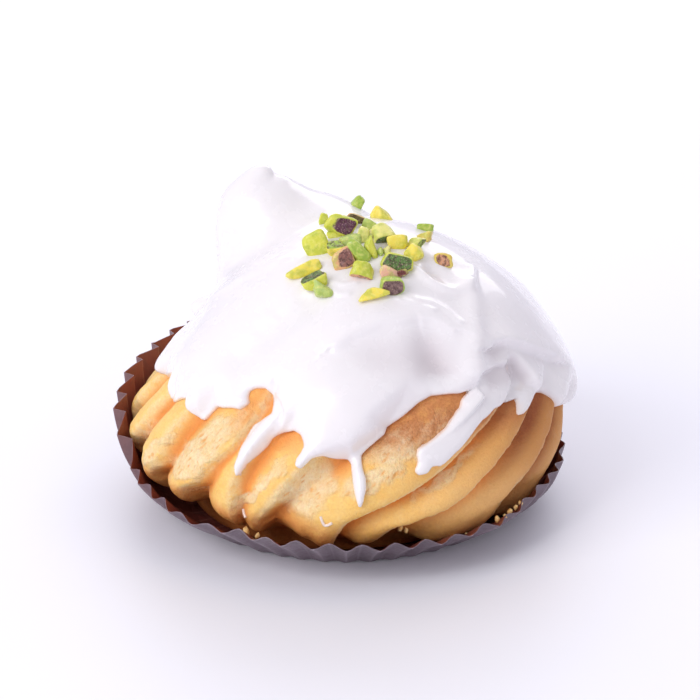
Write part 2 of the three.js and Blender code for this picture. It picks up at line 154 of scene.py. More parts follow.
def case_sheet():
    """The smooth paper before it is folded: rows out over the base and up the wall."""
    in_pleat = CASE_SHORT_STEPS + CASE_LONG_STEPS
    columns = CASE_PLEATS * in_pleat
    step = np.arange(columns)
    pleat = step // in_pleat
    part = step % in_pleat
    pleats = np.stack([pleat * 1.7, pleat * 0.0, pleat * 0.0], -1)
    short = all_round(CASE_WALL, pleat * 360 / CASE_PLEATS, 6)
    within = np.where(
        part < CASE_SHORT_STEPS,
        part / CASE_SHORT_STEPS * short,
        short + (part - CASE_SHORT_STEPS) / CASE_LONG_STEPS * (1 - short),
    )
    stray = CASE_CREASE_STRAY * grain(pleats, 1.0, 7)
    stray = stray * (1 - within) + np.roll(stray, -in_pleat) * within
    bearing = (pleat + within + stray) * 360 / CASE_PLEATS
    radians = np.radians(bearing)
    outward = np.stack([np.sin(radians), -np.cos(radians), np.zeros(columns)], -1)
    upward = np.array([0.0, 0.0, 1.0])
    rising = np.where(within < short, within / short, (1 - within) / (1 - short))
    fold = rising + (eased(rising) - rising) * ramp(short, *CASE_ROUNDED)
    rim_places = outward * 40
    rim_lift = CASE_RIM_STRAY[0] * grain(pleats, 1.0, 3) + CASE_RIM_STRAY[1] * grain(rim_places, 14, 4)
    lean = CASE_LEAN_STRAY * grain(rim_places, 9, 5)
    rim_radius = all_round(CASE_WALL, bearing, 1) + lean
    rim_height = all_round(CASE_WALL, bearing, 2) + rim_lift
    shoulder_radius = all_round(CASE_WALL, bearing, 3)
    shoulder_height = all_round(CASE_WALL, bearing, 4)
    points, up, inner = [], [], []
    for share in CASE_BASE_ROWS:
        points.append(outward * CASE_BASE_RADIUS * share)
        up.append(np.full(columns, -1 + share))
        inner.append(np.tile(upward, (columns, 1)))
    for row in range(CASE_WALL_ROWS + 1):
        share = row / CASE_WALL_ROWS
        to_shoulder, to_rim = 2 * share * (1 - share), share * share
        to_base = 1 - to_shoulder - to_rim
        radius = to_base * CASE_BASE_RADIUS + to_shoulder * shoulder_radius + to_rim * rim_radius
        height = to_shoulder * shoulder_height + to_rim * rim_height
        points.append(outward * radius[:, None] + upward * height[:, None])
        up.append(np.full(columns, share))
        out_step = (1 - share) * (shoulder_radius - CASE_BASE_RADIUS)
        out_step = out_step + share * (rim_radius - shoulder_radius)
        up_step = (1 - share) * shoulder_height + share * (rim_height - shoulder_height)
        long_way = np.hypot(out_step, up_step)
        inner.append(upward * (out_step / long_way)[:, None] - outward * (up_step / long_way)[:, None])
    rows = len(points)
    points = np.concatenate(points) + upward * CASE_CLEAR
    grid = np.arange(rows * columns).reshape(rows, columns)
    following = np.roll(grid, -1, axis=1)
    faces = np.stack([grid[:-1], grid[1:], following[1:], following[:-1]], -1).reshape(-1, 4)[:, ::-1]
    depth = all_round(CASE_WALL, bearing, 5) * (1 + CASE_DEPTH_STRAY * grain(pleats, 1.0, 6))
    marks = {
        "up": np.concatenate(up),
        "fold": np.tile(fold, rows),
        "inner": np.concatenate(inner),
        "depth": np.tile(depth, rows),
    }
    return points, faces, marks


def link(tree, start, end):
    """Joins one node's output to another's input."""
    tree.links.new(start, end)


def fill(tree, socket, value):
    """Gives an input its value, which is either another node's output or a constant."""
    if isinstance(value, bpy.types.NodeSocket):
        link(tree, value, socket)
    else:
        socket.default_value = value


def maths(tree, kind, first, second=None, third=None, clamp=False):
    """A Math node with its inputs filled from sockets or numbers, giving its output."""
    node = tree.nodes.new("ShaderNodeMath")
    node.operation = kind
    node.use_clamp = clamp
    for socket, value in zip(node.inputs, (first, second, third)):
        if value is not None:
            fill(tree, socket, value)
    return node.outputs[0]


def read_mark(tree, name, kind="FLOAT"):
    """A mark of the mesh's points, read in a geometry tree."""
    node = tree.nodes.new("GeometryNodeInputNamedAttribute")
    node.data_type = kind
    node.inputs["Name"].default_value = name
    return node.outputs["Attribute"]


def finish_tree(tree, geometry, material, into, out):
    """Ends a geometry tree: instances made real, and a material set."""
    realize = tree.nodes.new("GeometryNodeRealizeInstances")
    link(tree, geometry, realize.inputs[0])
    paint = tree.nodes.new("GeometryNodeSetMaterial")
    link(tree, realize.outputs[0], paint.inputs["Geometry"])
    link(tree, into.outputs[material], paint.inputs["Material"])
    link(tree, paint.outputs[0], out.inputs[0])


def start_tree(name, inputs, output):
    """A new geometry tree with its named inputs and its one output, and the nodes that hold them."""
    tree = bpy.data.node_groups.new(name, "GeometryNodeTree")
    for label, kind in inputs:
        tree.interface.new_socket(label, in_out="INPUT", socket_type="NodeSocket" + kind)
    tree.interface.new_socket(output, in_out="OUTPUT", socket_type="NodeSocketGeometry")
    return tree, tree.nodes.new("NodeGroupInput"), tree.nodes.new("NodeGroupOutput")


def pleat_folder():
    """A tree that folds a smooth sheet into pleats, from the sheet's own marks."""
    inputs = [("Sheet", "Geometry"), ("Depth at crease", "Float"), ("Depth scale", "Float")]
    inputs += [("Paper", "Material")]
    tree, into, out = start_tree("fold paper into pleats", inputs, "Pleated")
    up = read_mark(tree, "up")
    wall = maths(tree, "MAXIMUM", up, 0.0)
    folded = maths(tree, "GREATER_THAN", up, CASE_FLAT_END)
    rim_depth = maths(tree, "MULTIPLY", read_mark(tree, "depth"), into.outputs["Depth scale"])
    growth = maths(tree, "SUBTRACT", rim_depth, into.outputs["Depth at crease"])
    depth = maths(tree, "MULTIPLY_ADD", growth, wall, into.outputs["Depth at crease"])
    inward = maths(tree, "MULTIPLY", maths(tree, "MULTIPLY", depth, read_mark(tree, "fold")), folded)
    shift = tree.nodes.new("ShaderNodeVectorMath")
    shift.operation = "SCALE"
    link(tree, read_mark(tree, "inner", "FLOAT_VECTOR"), shift.inputs[0])
    link(tree, inward, shift.inputs["Scale"])
    move = tree.nodes.new("GeometryNodeSetPosition")
    link(tree, into.outputs["Sheet"], move.inputs["Geometry"])
    link(tree, shift.outputs[0], move.inputs["Offset"])
    finish_tree(tree, move.outputs[0], "Paper", into, out)
    return tree


def apply_tree(piece, tree, values):
    """Runs a geometry tree on a piece and leaves the piece with the plain mesh that comes out."""
    modifier = piece.modifiers.new("shape", "NODES")
    modifier.node_group = tree
    for item in tree.interface.items_tree:
        if item.item_type == "SOCKET" and item.in_out == "INPUT" and item.name in values:
            modifier[item.identifier] = values[item.name]
    bake_modifiers(piece)


def bake_modifiers(piece):
    """Turns a piece with modifiers into a plain mesh."""
    graph = bpy.context.evaluated_depsgraph_get()
    evaluated = piece.evaluated_get(graph)
    mesh = bpy.data.meshes.new_from_object(evaluated, preserve_all_data_layers=True, depsgraph=graph)
    mesh.name = piece.name
    piece.modifiers.clear()
    piece.data = mesh


def srgb(*levels):
    """A colour as read off a picture, 0 to 255, as the linear values that a shader takes."""
    shares = [level / 255 for level in levels]
    return tuple(c / 12.92 if c <= 0.04045 else ((c + 0.055) / 1.055) ** 2.4 for c in shares) + (1.0,)


def new_material(name):
    """A material with its tree and its one Principled shader."""
    material = bpy.data.materials.new(name)
    material.use_nodes = True
    tree = material.node_tree
    return material, tree, tree.nodes["Principled BSDF"]


def on_object(tree, axis=None):
    """A point's place on the object in metres, or how far it lies along one axis."""
    place = tree.nodes.new("ShaderNodeTexCoord").outputs["Object"]
    if axis is None:
        return place
    node = tree.nodes.new("ShaderNodeSeparateXYZ")
    link(tree, place, node.inputs[0])
    return node.outputs[axis]


def noise(tree, scale, detail, roughness, place=None):
    """Noise over the object: scale is in lumps a metre."""
    node = tree.nodes.new("ShaderNodeTexNoise")
    for name, value in (("Scale", scale), ("Detail", detail), ("Roughness", roughness)):
        fill(tree, node.inputs[name], value)
    link(tree, place or on_object(tree), node.inputs["Vector"])
    return node.outputs["Fac"]


def blend_colours(tree, share, first, second):
    """The first colour where the share is 0 and the second where it is 1."""
    node = tree.nodes.new("ShaderNodeMix")
    node.data_type = "RGBA"
    share_socket, first_socket, second_socket = node.inputs[0], node.inputs[6], node.inputs[7]
    for socket, value in ((share_socket, share), (first_socket, first), (second_socket, second)):
        fill(tree, socket, value)
    return node.outputs[2]


def spread(tree, value, low, high, to_low=0.0, to_high=1.0):
    """A value eased from the range between low and high to the range between to_low and to_high."""
    node = tree.nodes.new("ShaderNodeMapRange")
    node.interpolation_type = "SMOOTHSTEP"
    for socket, given in zip(node.inputs, (value, low, high, to_low, to_high)):
        fill(tree, socket, given)
    return node.outputs[0]


def point_mark(tree, name, output="Fac"):
    """A mark of the mesh's points, read in a material."""
    node = tree.nodes.new("ShaderNodeAttribute")
    node.attribute_name = name
    return node.outputs[output]


def bump(tree, height, distance_mm, strength, under=None):
    """The normal of a relief so many mm deep, laid over another normal where one is given."""
    node = tree.nodes.new("ShaderNodeBump")
    node.inputs["Strength"].default_value = strength
    node.inputs["Distance"].default_value = distance_mm * 0.001
    link(tree, height, node.inputs["Height"])
    if under:
        link(tree, under, node.inputs["Normal"])
    return node.outputs["Normal"]


def effect_group(name, inputs, outputs):
    """An empty shader group for an effect that several materials share, and the nodes of its sockets."""
    group = bpy.data.node_groups.new(name, "ShaderNodeTree")
    for label, kind in inputs:
        group.interface.new_socket(label, in_out="INPUT", socket_type="NodeSocket" + kind)
    for label, kind in outputs:
        group.interface.new_socket(label, in_out="OUTPUT", socket_type="NodeSocket" + kind)
    return group, group.nodes.new("NodeGroupInput").outputs, group.nodes.new("NodeGroupOutput").inputs


def place_effect(tree, group, values):
    """Puts an effect in a material with its own values, and gives its outputs."""
    node = tree.nodes.new("ShaderNodeGroup")
    node.node_tree = group
    for name, value in values.items():
        fill(tree, node.inputs[name], value)
    return node.outputs


def mottle_effect():
    """Two colours mixed in soft blotches, with the noise that mixes them."""
    inputs = [(name, "Float") for name in ("Scale", "Detail", "Roughness", "Low", "High")]
    inputs += [("First", "Color"), ("Second", "Color")]
    group, into, out = effect_group("mottled tone", inputs, [("Colour", "Color"), ("Mottle", "Float")])
    mottle = noise(group, into["Scale"], into["Detail"], into["Roughness"])
    share = spread(group, mottle, into["Low"], into["High"])
    link(group, blend_colours(group, share, into["First"], into["Second"]), out["Colour"])
    link(group, mottle, out["Mottle"])
    return group


mottle_group = mottle_effect()


def mottled(tree, lumps, detail, roughness, span, first, second):
    """A colour in blotches, so many a metre, that turns over a span of their noise; and that noise."""
    values = {"Scale": lumps, "Detail": detail, "Roughness": roughness, "Low": span[0], "High": span[1]}
    outputs = place_effect(tree, mottle_group, {**values, "First": first, "Second": second})
    return outputs["Colour"], outputs["Mottle"]


PAPER_LEFT = (-0.045, -0.030)  # metres across, between which the paper turns browner
PAPER_DUST = srgb(96, 72, 70)
PAPER_ROUGHNESS_SPREAD = 0.08


def paper_effect():
    """Baking paper: fine fibres, faint blotches, and worn paler lines along the creases."""
    inputs = [(name, "Color") for name in ("Paper", "Blotch", "Worn", "Left")] + [("Roughness", "Float")]
    outputs = [("Colour", "Color"), ("Roughness", "Float"), ("Fibre", "Float")]
    group, into, out = effect_group("baking paper", inputs, outputs)
    fibre = noise(group, 900, 4, 0.6)
    tone, _ = mottled(group, 60, 3, 0.5, (0.3, 0.7), into["Paper"], into["Blotch"])
    at_left = spread(group, on_object(group, "X"), *PAPER_LEFT, 0.85, 0.0)
    tone = blend_colours(group, at_left, tone, into["Left"])
    tone = blend_colours(group, spread(group, fibre, 0.35, 0.75, 0.0, 0.3), tone, PAPER_DUST)
    fold = point_mark(group, "fold")
    outer_crease = spread(group, fold, 0.0, 0.1, 0.8, 0.0)
    inner_crease = spread(group, fold, 0.93, 1.0, 0.0, 0.55)
    crease = maths(group, "MAXIMUM", outer_crease, inner_crease)
    worn = maths(group, "MULTIPLY", crease, spread(group, fibre, 0.2, 0.6))
    link(group, blend_colours(group, worn, tone, into["Worn"]), out["Colour"])
    smoothest = maths(group, "SUBTRACT", into["Roughness"], PAPER_ROUGHNESS_SPREAD)
    roughest = maths(group, "ADD", into["Roughness"], PAPER_ROUGHNESS_SPREAD)
    link(group, spread(group, fibre, 0.2, 0.8, smoothest, roughest), out["Roughness"])
    link(group, fibre, out["Fibre"])
    return group


def paper_material(name, values):
    """One side of the case's paper."""
    material, tree, shader = new_material(name)
    paper = place_effect(tree, paper_group, values)
    link(tree, paper["Colour"], shader.inputs["Base Color"])
    link(tree, paper["Roughness"], shader.inputs["Roughness"])
    link(tree, bump(tree, paper["Fibre"], 0.03, 0.6), shader.inputs["Normal"])
    return material


paper_group = paper_effect()
paper_outside = paper_material("case paper outside", {
    "Paper": srgb(130, 114, 126), "Blotch": srgb(110, 95, 106), "Worn": srgb(150, 134, 146),
    "Left": srgb(122, 84, 84), "Roughness": 0.45,
})
paper_inside = paper_material("case paper inside", {
    "Paper": srgb(138, 70, 62), "Blotch": srgb(108, 54, 50), "Worn": srgb(166, 116, 104),
    "Left": srgb(142, 76, 68), "Roughness": 0.36,
})
case_points, case_faces, case_marks = case_sheet()
paper_case = new_piece("pleated_case", case_points, case_faces, smooth=False, marks=case_marks)
folding = {"Depth at crease": CASE_CREASE_DEPTH * 0.001, "Depth scale": 0.001, "Paper": paper_outside}
apply_tree(paper_case, pleat_folder(), folding)
paper_case.data.materials.append(paper_inside)
thickness = paper_case.modifiers.new("paper", "SOLIDIFY")
thickness.thickness = CASE_PAPER * 0.001
thickness.offset = -1
thickness.material_offset = 1
bake_modifiers(paper_case)
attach(paper_case, "root")
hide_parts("paper_case")

# ---------------------------------------------------------------- choux bun
# The bun is choux paste piped through a star nozzle with a twist and baked till it puffs: its ribs lean
# to the right as they rise, overlap like petals, and some have torn open on a pale porous crumb.

BUN_PROFILE = [  # radius and height of the mean outline
    (0, 0.75), (18, 0.75), (28.6, 0.9), (31.2, 2.6), (33.6, 4.3), (37.4, 5.6), (39.9, 8), (41.5, 12),
    (42.4, 16.5), (41.7, 21.5), (39.3, 27), (35.5, 33), (29.8, 39.5), (21.8, 45), (11.8, 48.6), (0, 50),
]
BUN_SHIFT = [(8, -1.4), (17, -0.3), (31, 2.4), (42, 2.6)]  # height, how far right the dome's middle lies
BUN_FOOT_LIFT = [  # bearing, how far the feet stand up there
    (-150, 3), (-95, 3), (-75, 3.6), (-62, 3.6), (-46, 4.2), (-33, 3.6), (-25, 1.9), (-20, 2.4),
    (-14, 2.9), (-9, 2.5), (-4, 1.2), (4, 1.2), (12, 2), (20, 1.2), (27, 0.1), (45, 0), (60, -0.3),
    (90, -0.3), (120, 1),
]
BUN_DRAWN_IN = [  # bearing, how far the dome is drawn in there at its middle heights
    (-62, 0), (-90, 0.9), (-112, 2.2), (-132, 2.7), (-155, 1.8), (175, 0.8), (120, 0), (95, 0.4), (70, 0.3),
    (45, 0),
]
BUN_DRAWN_HEIGHTS = (17, 27, 42, 50)
BUN_LIFT_START = (1, 4)
BUN_LIFT_END = (7.5, 19)
# Each rib overlaps the next like a petal: bearings of its sharp right edge at the levels below, and the
# share of the next rib that the drop behind the edge takes.
BUN_LEVELS = (2, 9, 14, 20, 26, 32, 42)
BUN_EDGES = [
    (-95, -94, -92, -89, -86, -83, -80, 0.2), (-83, -81, -78, -72, -68.7, -66, -62, 0.2),
    (-64, -62, -58.5, -56.4, -54.2, -51, -47, 0.2), (-49, -46.5, -43, -37.5, -32.6, -29, -25, 0.3),
    (-29.5, -28.6, -28.6, -28.6, -27.4, -23, -17, 0.22), (-24.5, -22.2, -19.3, -15.7, -8.5, 0, 8, 0.2),
    (-3, -0.3, 4, 19.5, 32.3, 48, 66, 0.14), (8, 13.5, 26.5, 39.7, 51.6, 66, 84, 0.16),
    (44, 46.3, 50.3, 62.6, 75.5, 87, 104, 0.2), (56, 66, 75.5, 84, 94, 105, 120, 0.2),
    (76, 84, 93, 103, 113, 123, 138, 0.2), (95, 102, 111, 121, 131, 141, 156, 0.2),
    (114, 121, 129, 139, 149, 159, 173, 0.2), (134, 140, 148, 157, 167, 176, 190, 0.2),
    (153, 159, 166, 175, 184, 193, 206, 0.2), (172, 177, 184, 192, 200, 208, 220, 0.2),
    (192, 196, 202, 209, 216, 223, 233, 0.2), (212, 215, 220, 226, 232, 238, 246, 0.2),
    (232, 234, 238, 242, 246, 250, 257, 0.2), (249, 251, 253, 257, 260, 263, 268, 0.2),
]
BUN_RIB_DEPTH = [(1, 0), (4, 0.6), (5.6, 3.4), (9, 4.1), (16, 3.9), (24, 3.4), (32, 2.2), (40, 1), (47, 0)]
BUN_FULL_SPAN = 17  # degrees between edges from which a rib has its full depth
BUN_RISE_SPAN = 26  # degrees that the slow rise of a wide rib takes
BUN_CREST_SHARE = 0.36
BUN_RISE_END = 0.8  # share of the rise at which the crest is reached
BUN_CREST_FALL = 0.15  # how far the crest falls again towards the next edge
BUN_EDGE_HEIGHT = 0.85  # height of the sharp edge, as a share of the crest's
BUN_DROP_BEND = 1.4
BUN_COLUMNS = 720
BUN_FIBRE_LEAN = 48  # degrees that the torn fibres lean to the right
BUN_SHOWN = (28.0, 73.0)  # stretch of the outline that shows, measured along it from the bottom pole
BUN_FINE_STEP = 0.42
BUN_COARSE_STEP = 3
# noise on the bun, each row a strength, a width in mm and a seed
BUN_EDGE_STRAY = ((0.5, 3, 20), (0.25, 1.1, 21))  # how far the sharp edges stray, in degrees
BUN_TORN_STRAY = ((2.2, 2.2, 14), (0.8, 1.6, 15))  # the same for torn places, in degrees and in mm
BUN_LUMPS = ((0.3, 9, 11), (0.14, 3.5, 12), (0.06, 1.3, 13))
BUN_FIBRES = ((1, 0.9, 19, (0.4, 0.4, 1.15)), (0.5, 0.6, 18, (0.6, 0.6, 1)))  # and their squeeze
BUN_STRIPES = (5, 18, 0.55, 16)  # how often across a rib, mm that they are drawn out, width and seed
# heights between which the lumps, the stripes and the crumbly edges begin
BUN_LUMPS_FROM = (1.2, 6)
BUN_STRIPES_FROM = (2, 8)
BUN_CRUMB_FROM = (4, 8)
BUN_PITS = ((1.25, 0.5, 17), (0.85, 0.42, 23))  # spacing, reach and seed of the pits in the torn crumb
BUN_PIT_STRAY = (0.5, 2.5)  # how far their reach varies, and over what width
BUN_PIT_SLANT = np.array([[0.8, 0, -0.45], [0, 0.9, 0], [-0.45, 0, 0.8]])  # draws the pits out in a lean
BUN_PIT_DEPTH = 0.45
BUN_FIBRE_DEPTH = 0.24
BUN_TORN_DEPTH = 0.1
BUN_STRIPE_DEPTH = 0.07
BUN_EDGE_CRUMB = (0.16, 0.7, 22)  # depth, width and seed of the crumbly edges
BUN_CRUMB_BAND = 1.1  # how wide they are
BUN_TORN_SOFT = (0.35, 1.3)  # shares of a torn place's half sizes between which it fades
PIT_MIX = np.array([73856093, 19349663, 83492791])  # odd numbers that scatter the pits' cells
# torn places: bearing, height, half width in degrees, half height in mm, lean in degrees a mm, strength
BUN_TORN = [
    (-44, 21.5, 7, 9, 0.8, 1.0), (-34, 29, 4, 3, 0.3, 0.6), (-10, 18, 7, 7, 0.4, 0.9),
    (-23, 17, 2.6, 8, 0.8, 0.75), (-60, 17, 2.6, 8, 0.7, 0.6), (-74, 16, 2.4, 7, 0.9, 0.5),
    (18, 27.5, 14, 4, 2.2, 1.0), (6, 21.5, 6, 3.5, 1.5, 0.7), (26.5, 20.5, 2.4, 5, 2.1, 0.6),
    (49, 13.5, 2.2, 3, 1.0, 0.6), (-42, 9.5, 5, 1.6, 0, 0.6), (110, 24, 6, 5, 1.4, 0.9),
    (150, 16, 6, 6, 1.4, 0.8), (200, 22, 6, 7, 1.0, 0.9), (245, 20, 5, 6, 0.5, 0.8),
]


def up_table(rows, height):
    """A value that a table gives at a few heights, eased between them."""
    table = np.array(rows, float)
    row = np.clip(np.searchsorted(table[:, 0], height, side="right") - 1, 0, len(table) - 2)
    share = np.clip((height - table[row, 0]) / (table[row + 1, 0] - table[row, 0]), 0, 1)
    return table[row, 1] + (table[row + 1, 1] - table[row, 1]) * eased(share)


def through(points, steps=60):
    """A smooth curve through points, sampled closely."""
    given = np.array(points, float)
    padded = np.vstack([given[0], given, given[-1]])
    share = np.linspace(0, 1, steps, endpoint=False)[:, None]
    curve = []
    for before, start, end, after in zip(padded, padded[1:], padded[2:], padded[3:]):
        slope = end - before
        square = 2 * before - 5 * start + 4 * end - after
        cube = 3 * start - before - 3 * end + after
        curve.append(0.5 * (2 * start + slope * share + square * share**2 + cube * share**3))
    return np.vstack(curve + [given[-1:]])


def along(curve, distances, probe=0.3):
    """Points and directions on a sampled curve at distances from its start."""
    lengths = np.append(0, np.cumsum(np.hypot(*np.diff(curve, axis=0).T)))
    points = np.stack([np.interp(distances, lengths, curve[:, i]) for i in (0, 1)], -1)
    ahead = np.stack([np.interp(distances + probe, lengths, curve[:, i]) for i in (0, 1)], -1)
    behind = np.stack([np.interp(distances - probe, lengths, curve[:, i]) for i in (0, 1)], -1)
    direction = ahead - behind
    return points, direction / np.linalg.norm(direction, axis=1)[:, None]


bun_curve = through(BUN_PROFILE)
bun_length = float(np.sum(np.hypot(*np.diff(bun_curve, axis=0).T)))
bun_edge_curves = [through(list(zip(BUN_LEVELS, rib))) for rib in BUN_EDGES]


def edge_bearings(height):
    """The bearings of all sharp edges at heights, one column a rib and the first rib again at the end."""
    edges = np.stack([np.interp(height, curve[:, 0], curve[:, 1]) for curve in bun_edge_curves], axis=-1)
    return np.concatenate([edges, edges[..., :1] + 360], axis=-1)


def drawn_in(bearing, height):
    """How far the dome is drawn in there."""
    start, full, falling, end = BUN_DRAWN_HEIGHTS
    share = ramp(height, start, full) * (1 - ramp(height, falling, end))
    return all_round(BUN_DRAWN_IN, bearing) * share


def dome_place(bearing, radius, height):
    """Bearing, radius and height on the plain dome to a point, with the lifted feet and the shift."""
    lift = ramp(height, *BUN_LIFT_START) * (1 - ramp(height, *BUN_LIFT_END))
    angle = np.radians(bearing)
    radius = radius - drawn_in(bearing, height)
    x = radius * np.sin(angle) + up_table(BUN_SHIFT, height)
    return np.stack([x, -radius * np.cos(angle), height + all_round(BUN_FOOT_LIFT, bearing) * lift], -1)


def rib_shape(bearing, height):
    """How a point lies on its rib: the rib's number, the share across, the height from 0 to 1, the span."""
    edges = edge_bearings(height)
    first = edges[..., :1]
    turned = (bearing[..., None] - first) % 360 + first
    rib = np.sum(edges[..., 1:-1] <= turned, axis=-1)
    low = np.take_along_axis(edges, rib[..., None], -1)[..., 0]
    high = np.take_along_axis(edges, rib[..., None] + 1, -1)[..., 0]
    span = high - low
    across = np.clip((turned[..., 0] - low) / span, 0, 1)
    drop = np.array([r[-1] for r in BUN_EDGES])[rib]
    risen = np.clip((across - drop) / (1 - drop), 0, 1)
    quickened = risen / BUN_RISE_END * np.maximum(1, span / BUN_RISE_SPAN)
    rise = np.sin(0.5 * np.pi * np.clip(quickened, 0, 1))
    rise = rise - BUN_CREST_FALL * np.clip((risen - BUN_RISE_END) / (1 - BUN_RISE_END), 0, 1) ** 2
    fall = BUN_EDGE_HEIGHT * np.clip(1 - across / drop, 0, 1) ** BUN_DROP_BEND
    return rib, across, np.where(across < drop, fall, rise), span


def rib_depth(height, span):
    """How far a rib's crest stands over its groove."""
    return up_table(BUN_RIB_DEPTH, height) * np.minimum(1, span / BUN_FULL_SPAN)


def torn_share(bearing, height):
    """How far the crust is torn open there, from 0 to 1."""
    total = np.zeros(np.shape(bearing))
    for middle, level, half_width, half_height, lean, strength in BUN_TORN:
        along_rib = height - level
        off = (bearing - middle - lean * along_rib + 180) % 360 - 180
        away = np.sqrt((off / half_width) ** 2 + (along_rib / half_height) ** 2)
        total = np.maximum(total, strength * (1 - ramp(away, *BUN_TORN_SOFT)))
    return total


def pits(points, size, seed):
    """Distance to the nearest of scattered pit centres about `size` mm apart, in mm."""
    scaled = points / size + 500.0
    cell = np.floor(scaled).astype(np.int64)
    nearest = np.full(len(points), 9.0)
    for corner in range(27):
        step = np.array([corner % 3 - 1, corner // 3 % 3 - 1, corner // 9 - 1])
        at = cell + step
        centre = at.astype(float)
        for axis in range(3):
            mixed = at @ PIT_MIX + seed * 31337 + axis * 7919
            mixed = ((mixed ^ (mixed >> 11)) * 1274126177) & 0xFFFFFFFF
            centre[:, axis] += ((mixed ^ (mixed >> 15)) & 0xFFFF) / 65535
        nearest = np.minimum(nearest, np.linalg.norm(scaled - centre, axis=1))
    return nearest * size


def bun_mesh():
    """Rings from the bottom pole to the top pole, fine where the pastry shows."""
    distances = np.concatenate([
        np.arange(BUN_COARSE_STEP, BUN_SHOWN[0], BUN_COARSE_STEP),
        np.arange(*BUN_SHOWN, BUN_FINE_STEP),
        np.arange(BUN_SHOWN[1], bun_length - 1, BUN_COARSE_STEP),
    ])
    profile, direction = along(bun_curve, distances)
    bearing = np.arange(BUN_COLUMNS) * 360 / BUN_COLUMNS - 180
    bearing, height = np.meshgrid(bearing, profile[:, 1])
    radius = np.repeat(profile[:, :1], BUN_COLUMNS, axis=1)
    flat = dome_place(bearing, radius, height).reshape(-1, 3)

    def wobble(size, seed, stretch=(1, 1, 1)):
        return grain(flat * np.array(stretch), size, seed).reshape(height.shape)

    strayed = sum((turn * wobble(width, seed) for turn, width, seed in BUN_EDGE_STRAY), start=bearing)
    rib, across, shape, span = rib_shape(strayed, height)
    to_edge = np.minimum(across, 1 - across) * span * np.radians(radius)
    edge_crumb = np.exp(-((to_edge / BUN_CRUMB_BAND) ** 2)) * ramp(height, *BUN_CRUMB_FROM)
    lumps = sum(rise * wobble(width, seed) for rise, width, seed in BUN_LUMPS)
    round_stray, up_stray = [far * wobble(width, seed) for far, width, seed in BUN_TORN_STRAY]
    torn = torn_share(bearing + round_stray, height + up_stray)
    often, drawn_out, width, seed = BUN_STRIPES
    ridged = np.stack([rib * 7.0 + across * often, np.zeros_like(height), height / drawn_out], -1)
    stripes = grain(ridged.reshape(-1, 3), width, seed).reshape(height.shape)
    shown = torn.ravel() > 0.02
    pores = np.zeros(len(flat))
    for size, reach, seed in BUN_PITS:
        from_pit = pits(flat[shown] @ BUN_PIT_SLANT, size, seed)
        uneven = reach * (1 + BUN_PIT_STRAY[0] * grain(flat[shown], BUN_PIT_STRAY[1], seed))
        pores[shown] = np.maximum(pores[shown], np.clip(1 - from_pit / uneven, 0, 1))
    pores = pores.reshape(height.shape)
    fibres = sum(share * wobble(*drawn) for share, *drawn in BUN_FIBRES)
    out = rib_depth(height, span) * (shape - 1 + BUN_CREST_SHARE) + lumps * ramp(height, *BUN_LUMPS_FROM)
    out = out + BUN_STRIPE_DEPTH * stripes * (1 - torn) * ramp(height, *BUN_STRIPES_FROM)
    out = out + BUN_EDGE_CRUMB[0] * edge_crumb * wobble(*BUN_EDGE_CRUMB[1:])
    out = out + torn * (BUN_FIBRE_DEPTH * fibres - BUN_TORN_DEPTH - BUN_PIT_DEPTH * pores)
    points = dome_place(bearing, radius + out * direction[:, 1:2], height - out * direction[:, :1])
    rows = len(distances)
    grid = np.arange(rows * BUN_COLUMNS).reshape(rows, BUN_COLUMNS)
    following = np.roll(grid, -1, axis=1)
    faces = np.stack([grid[:-1], following[:-1], following[1:], grid[1:]], -1).reshape(-1, 4)
    marks = {
        "torn": torn.ravel(),
        "pore": np.clip(pores - 0.25 * fibres, 0, 1).ravel(),
        "crest": shape.ravel(),
        "rim": edge_crumb.ravel(),
        "dome_height": height.ravel(),
    }
    return points, faces, marks


def close_poles(piece):
    """Fills the two small round holes at the poles of a ring mesh."""
    work = bmesh.new()
    work.from_mesh(piece.data)
    rim = [edge for edge in work.edges if edge.is_boundary]
    bmesh.ops.holes_fill(work, edges=rim, sides=0)
    bmesh.ops.triangulate(work, faces=[face for face in work.faces if len(face.verts) > 4])
    work.to_mesh(piece.data)
    work.free()


CHOUX_GOLD = (srgb(255, 214, 128), srgb(253, 203, 110), srgb(255, 224, 154))
CHOUX_SHADED_RIGHT = (srgb(253, 194, 128), srgb(238, 168, 96))  # painted shade on the right side: at its foot, and high up
# painted shade, orange, for the grooves between the ribs
CHOUX_GROOVE_SHADE = srgb(240, 150, 70)
CHOUX_PALE = (srgb(255, 240, 200), srgb(253, 226, 170))
CHOUX_PIT = srgb(242, 176, 102)
CHOUX_BROWNED = (srgb(210, 136, 84), srgb(184, 110, 66))
CHOUX_ORANGE = srgb(244, 162, 84)
CHOUX_FOOT = srgb(238, 152, 78)
# painted shade for the underside below the feet
CHOUX_UNDERSIDE_SHADE = srgb(188, 112, 58)
# painted shade for the far right, under the icing's lip
CHOUX_RIGHT_SHADE = srgb(156, 84, 44)
CHOUX_GRAIN = srgb(212, 138, 74)


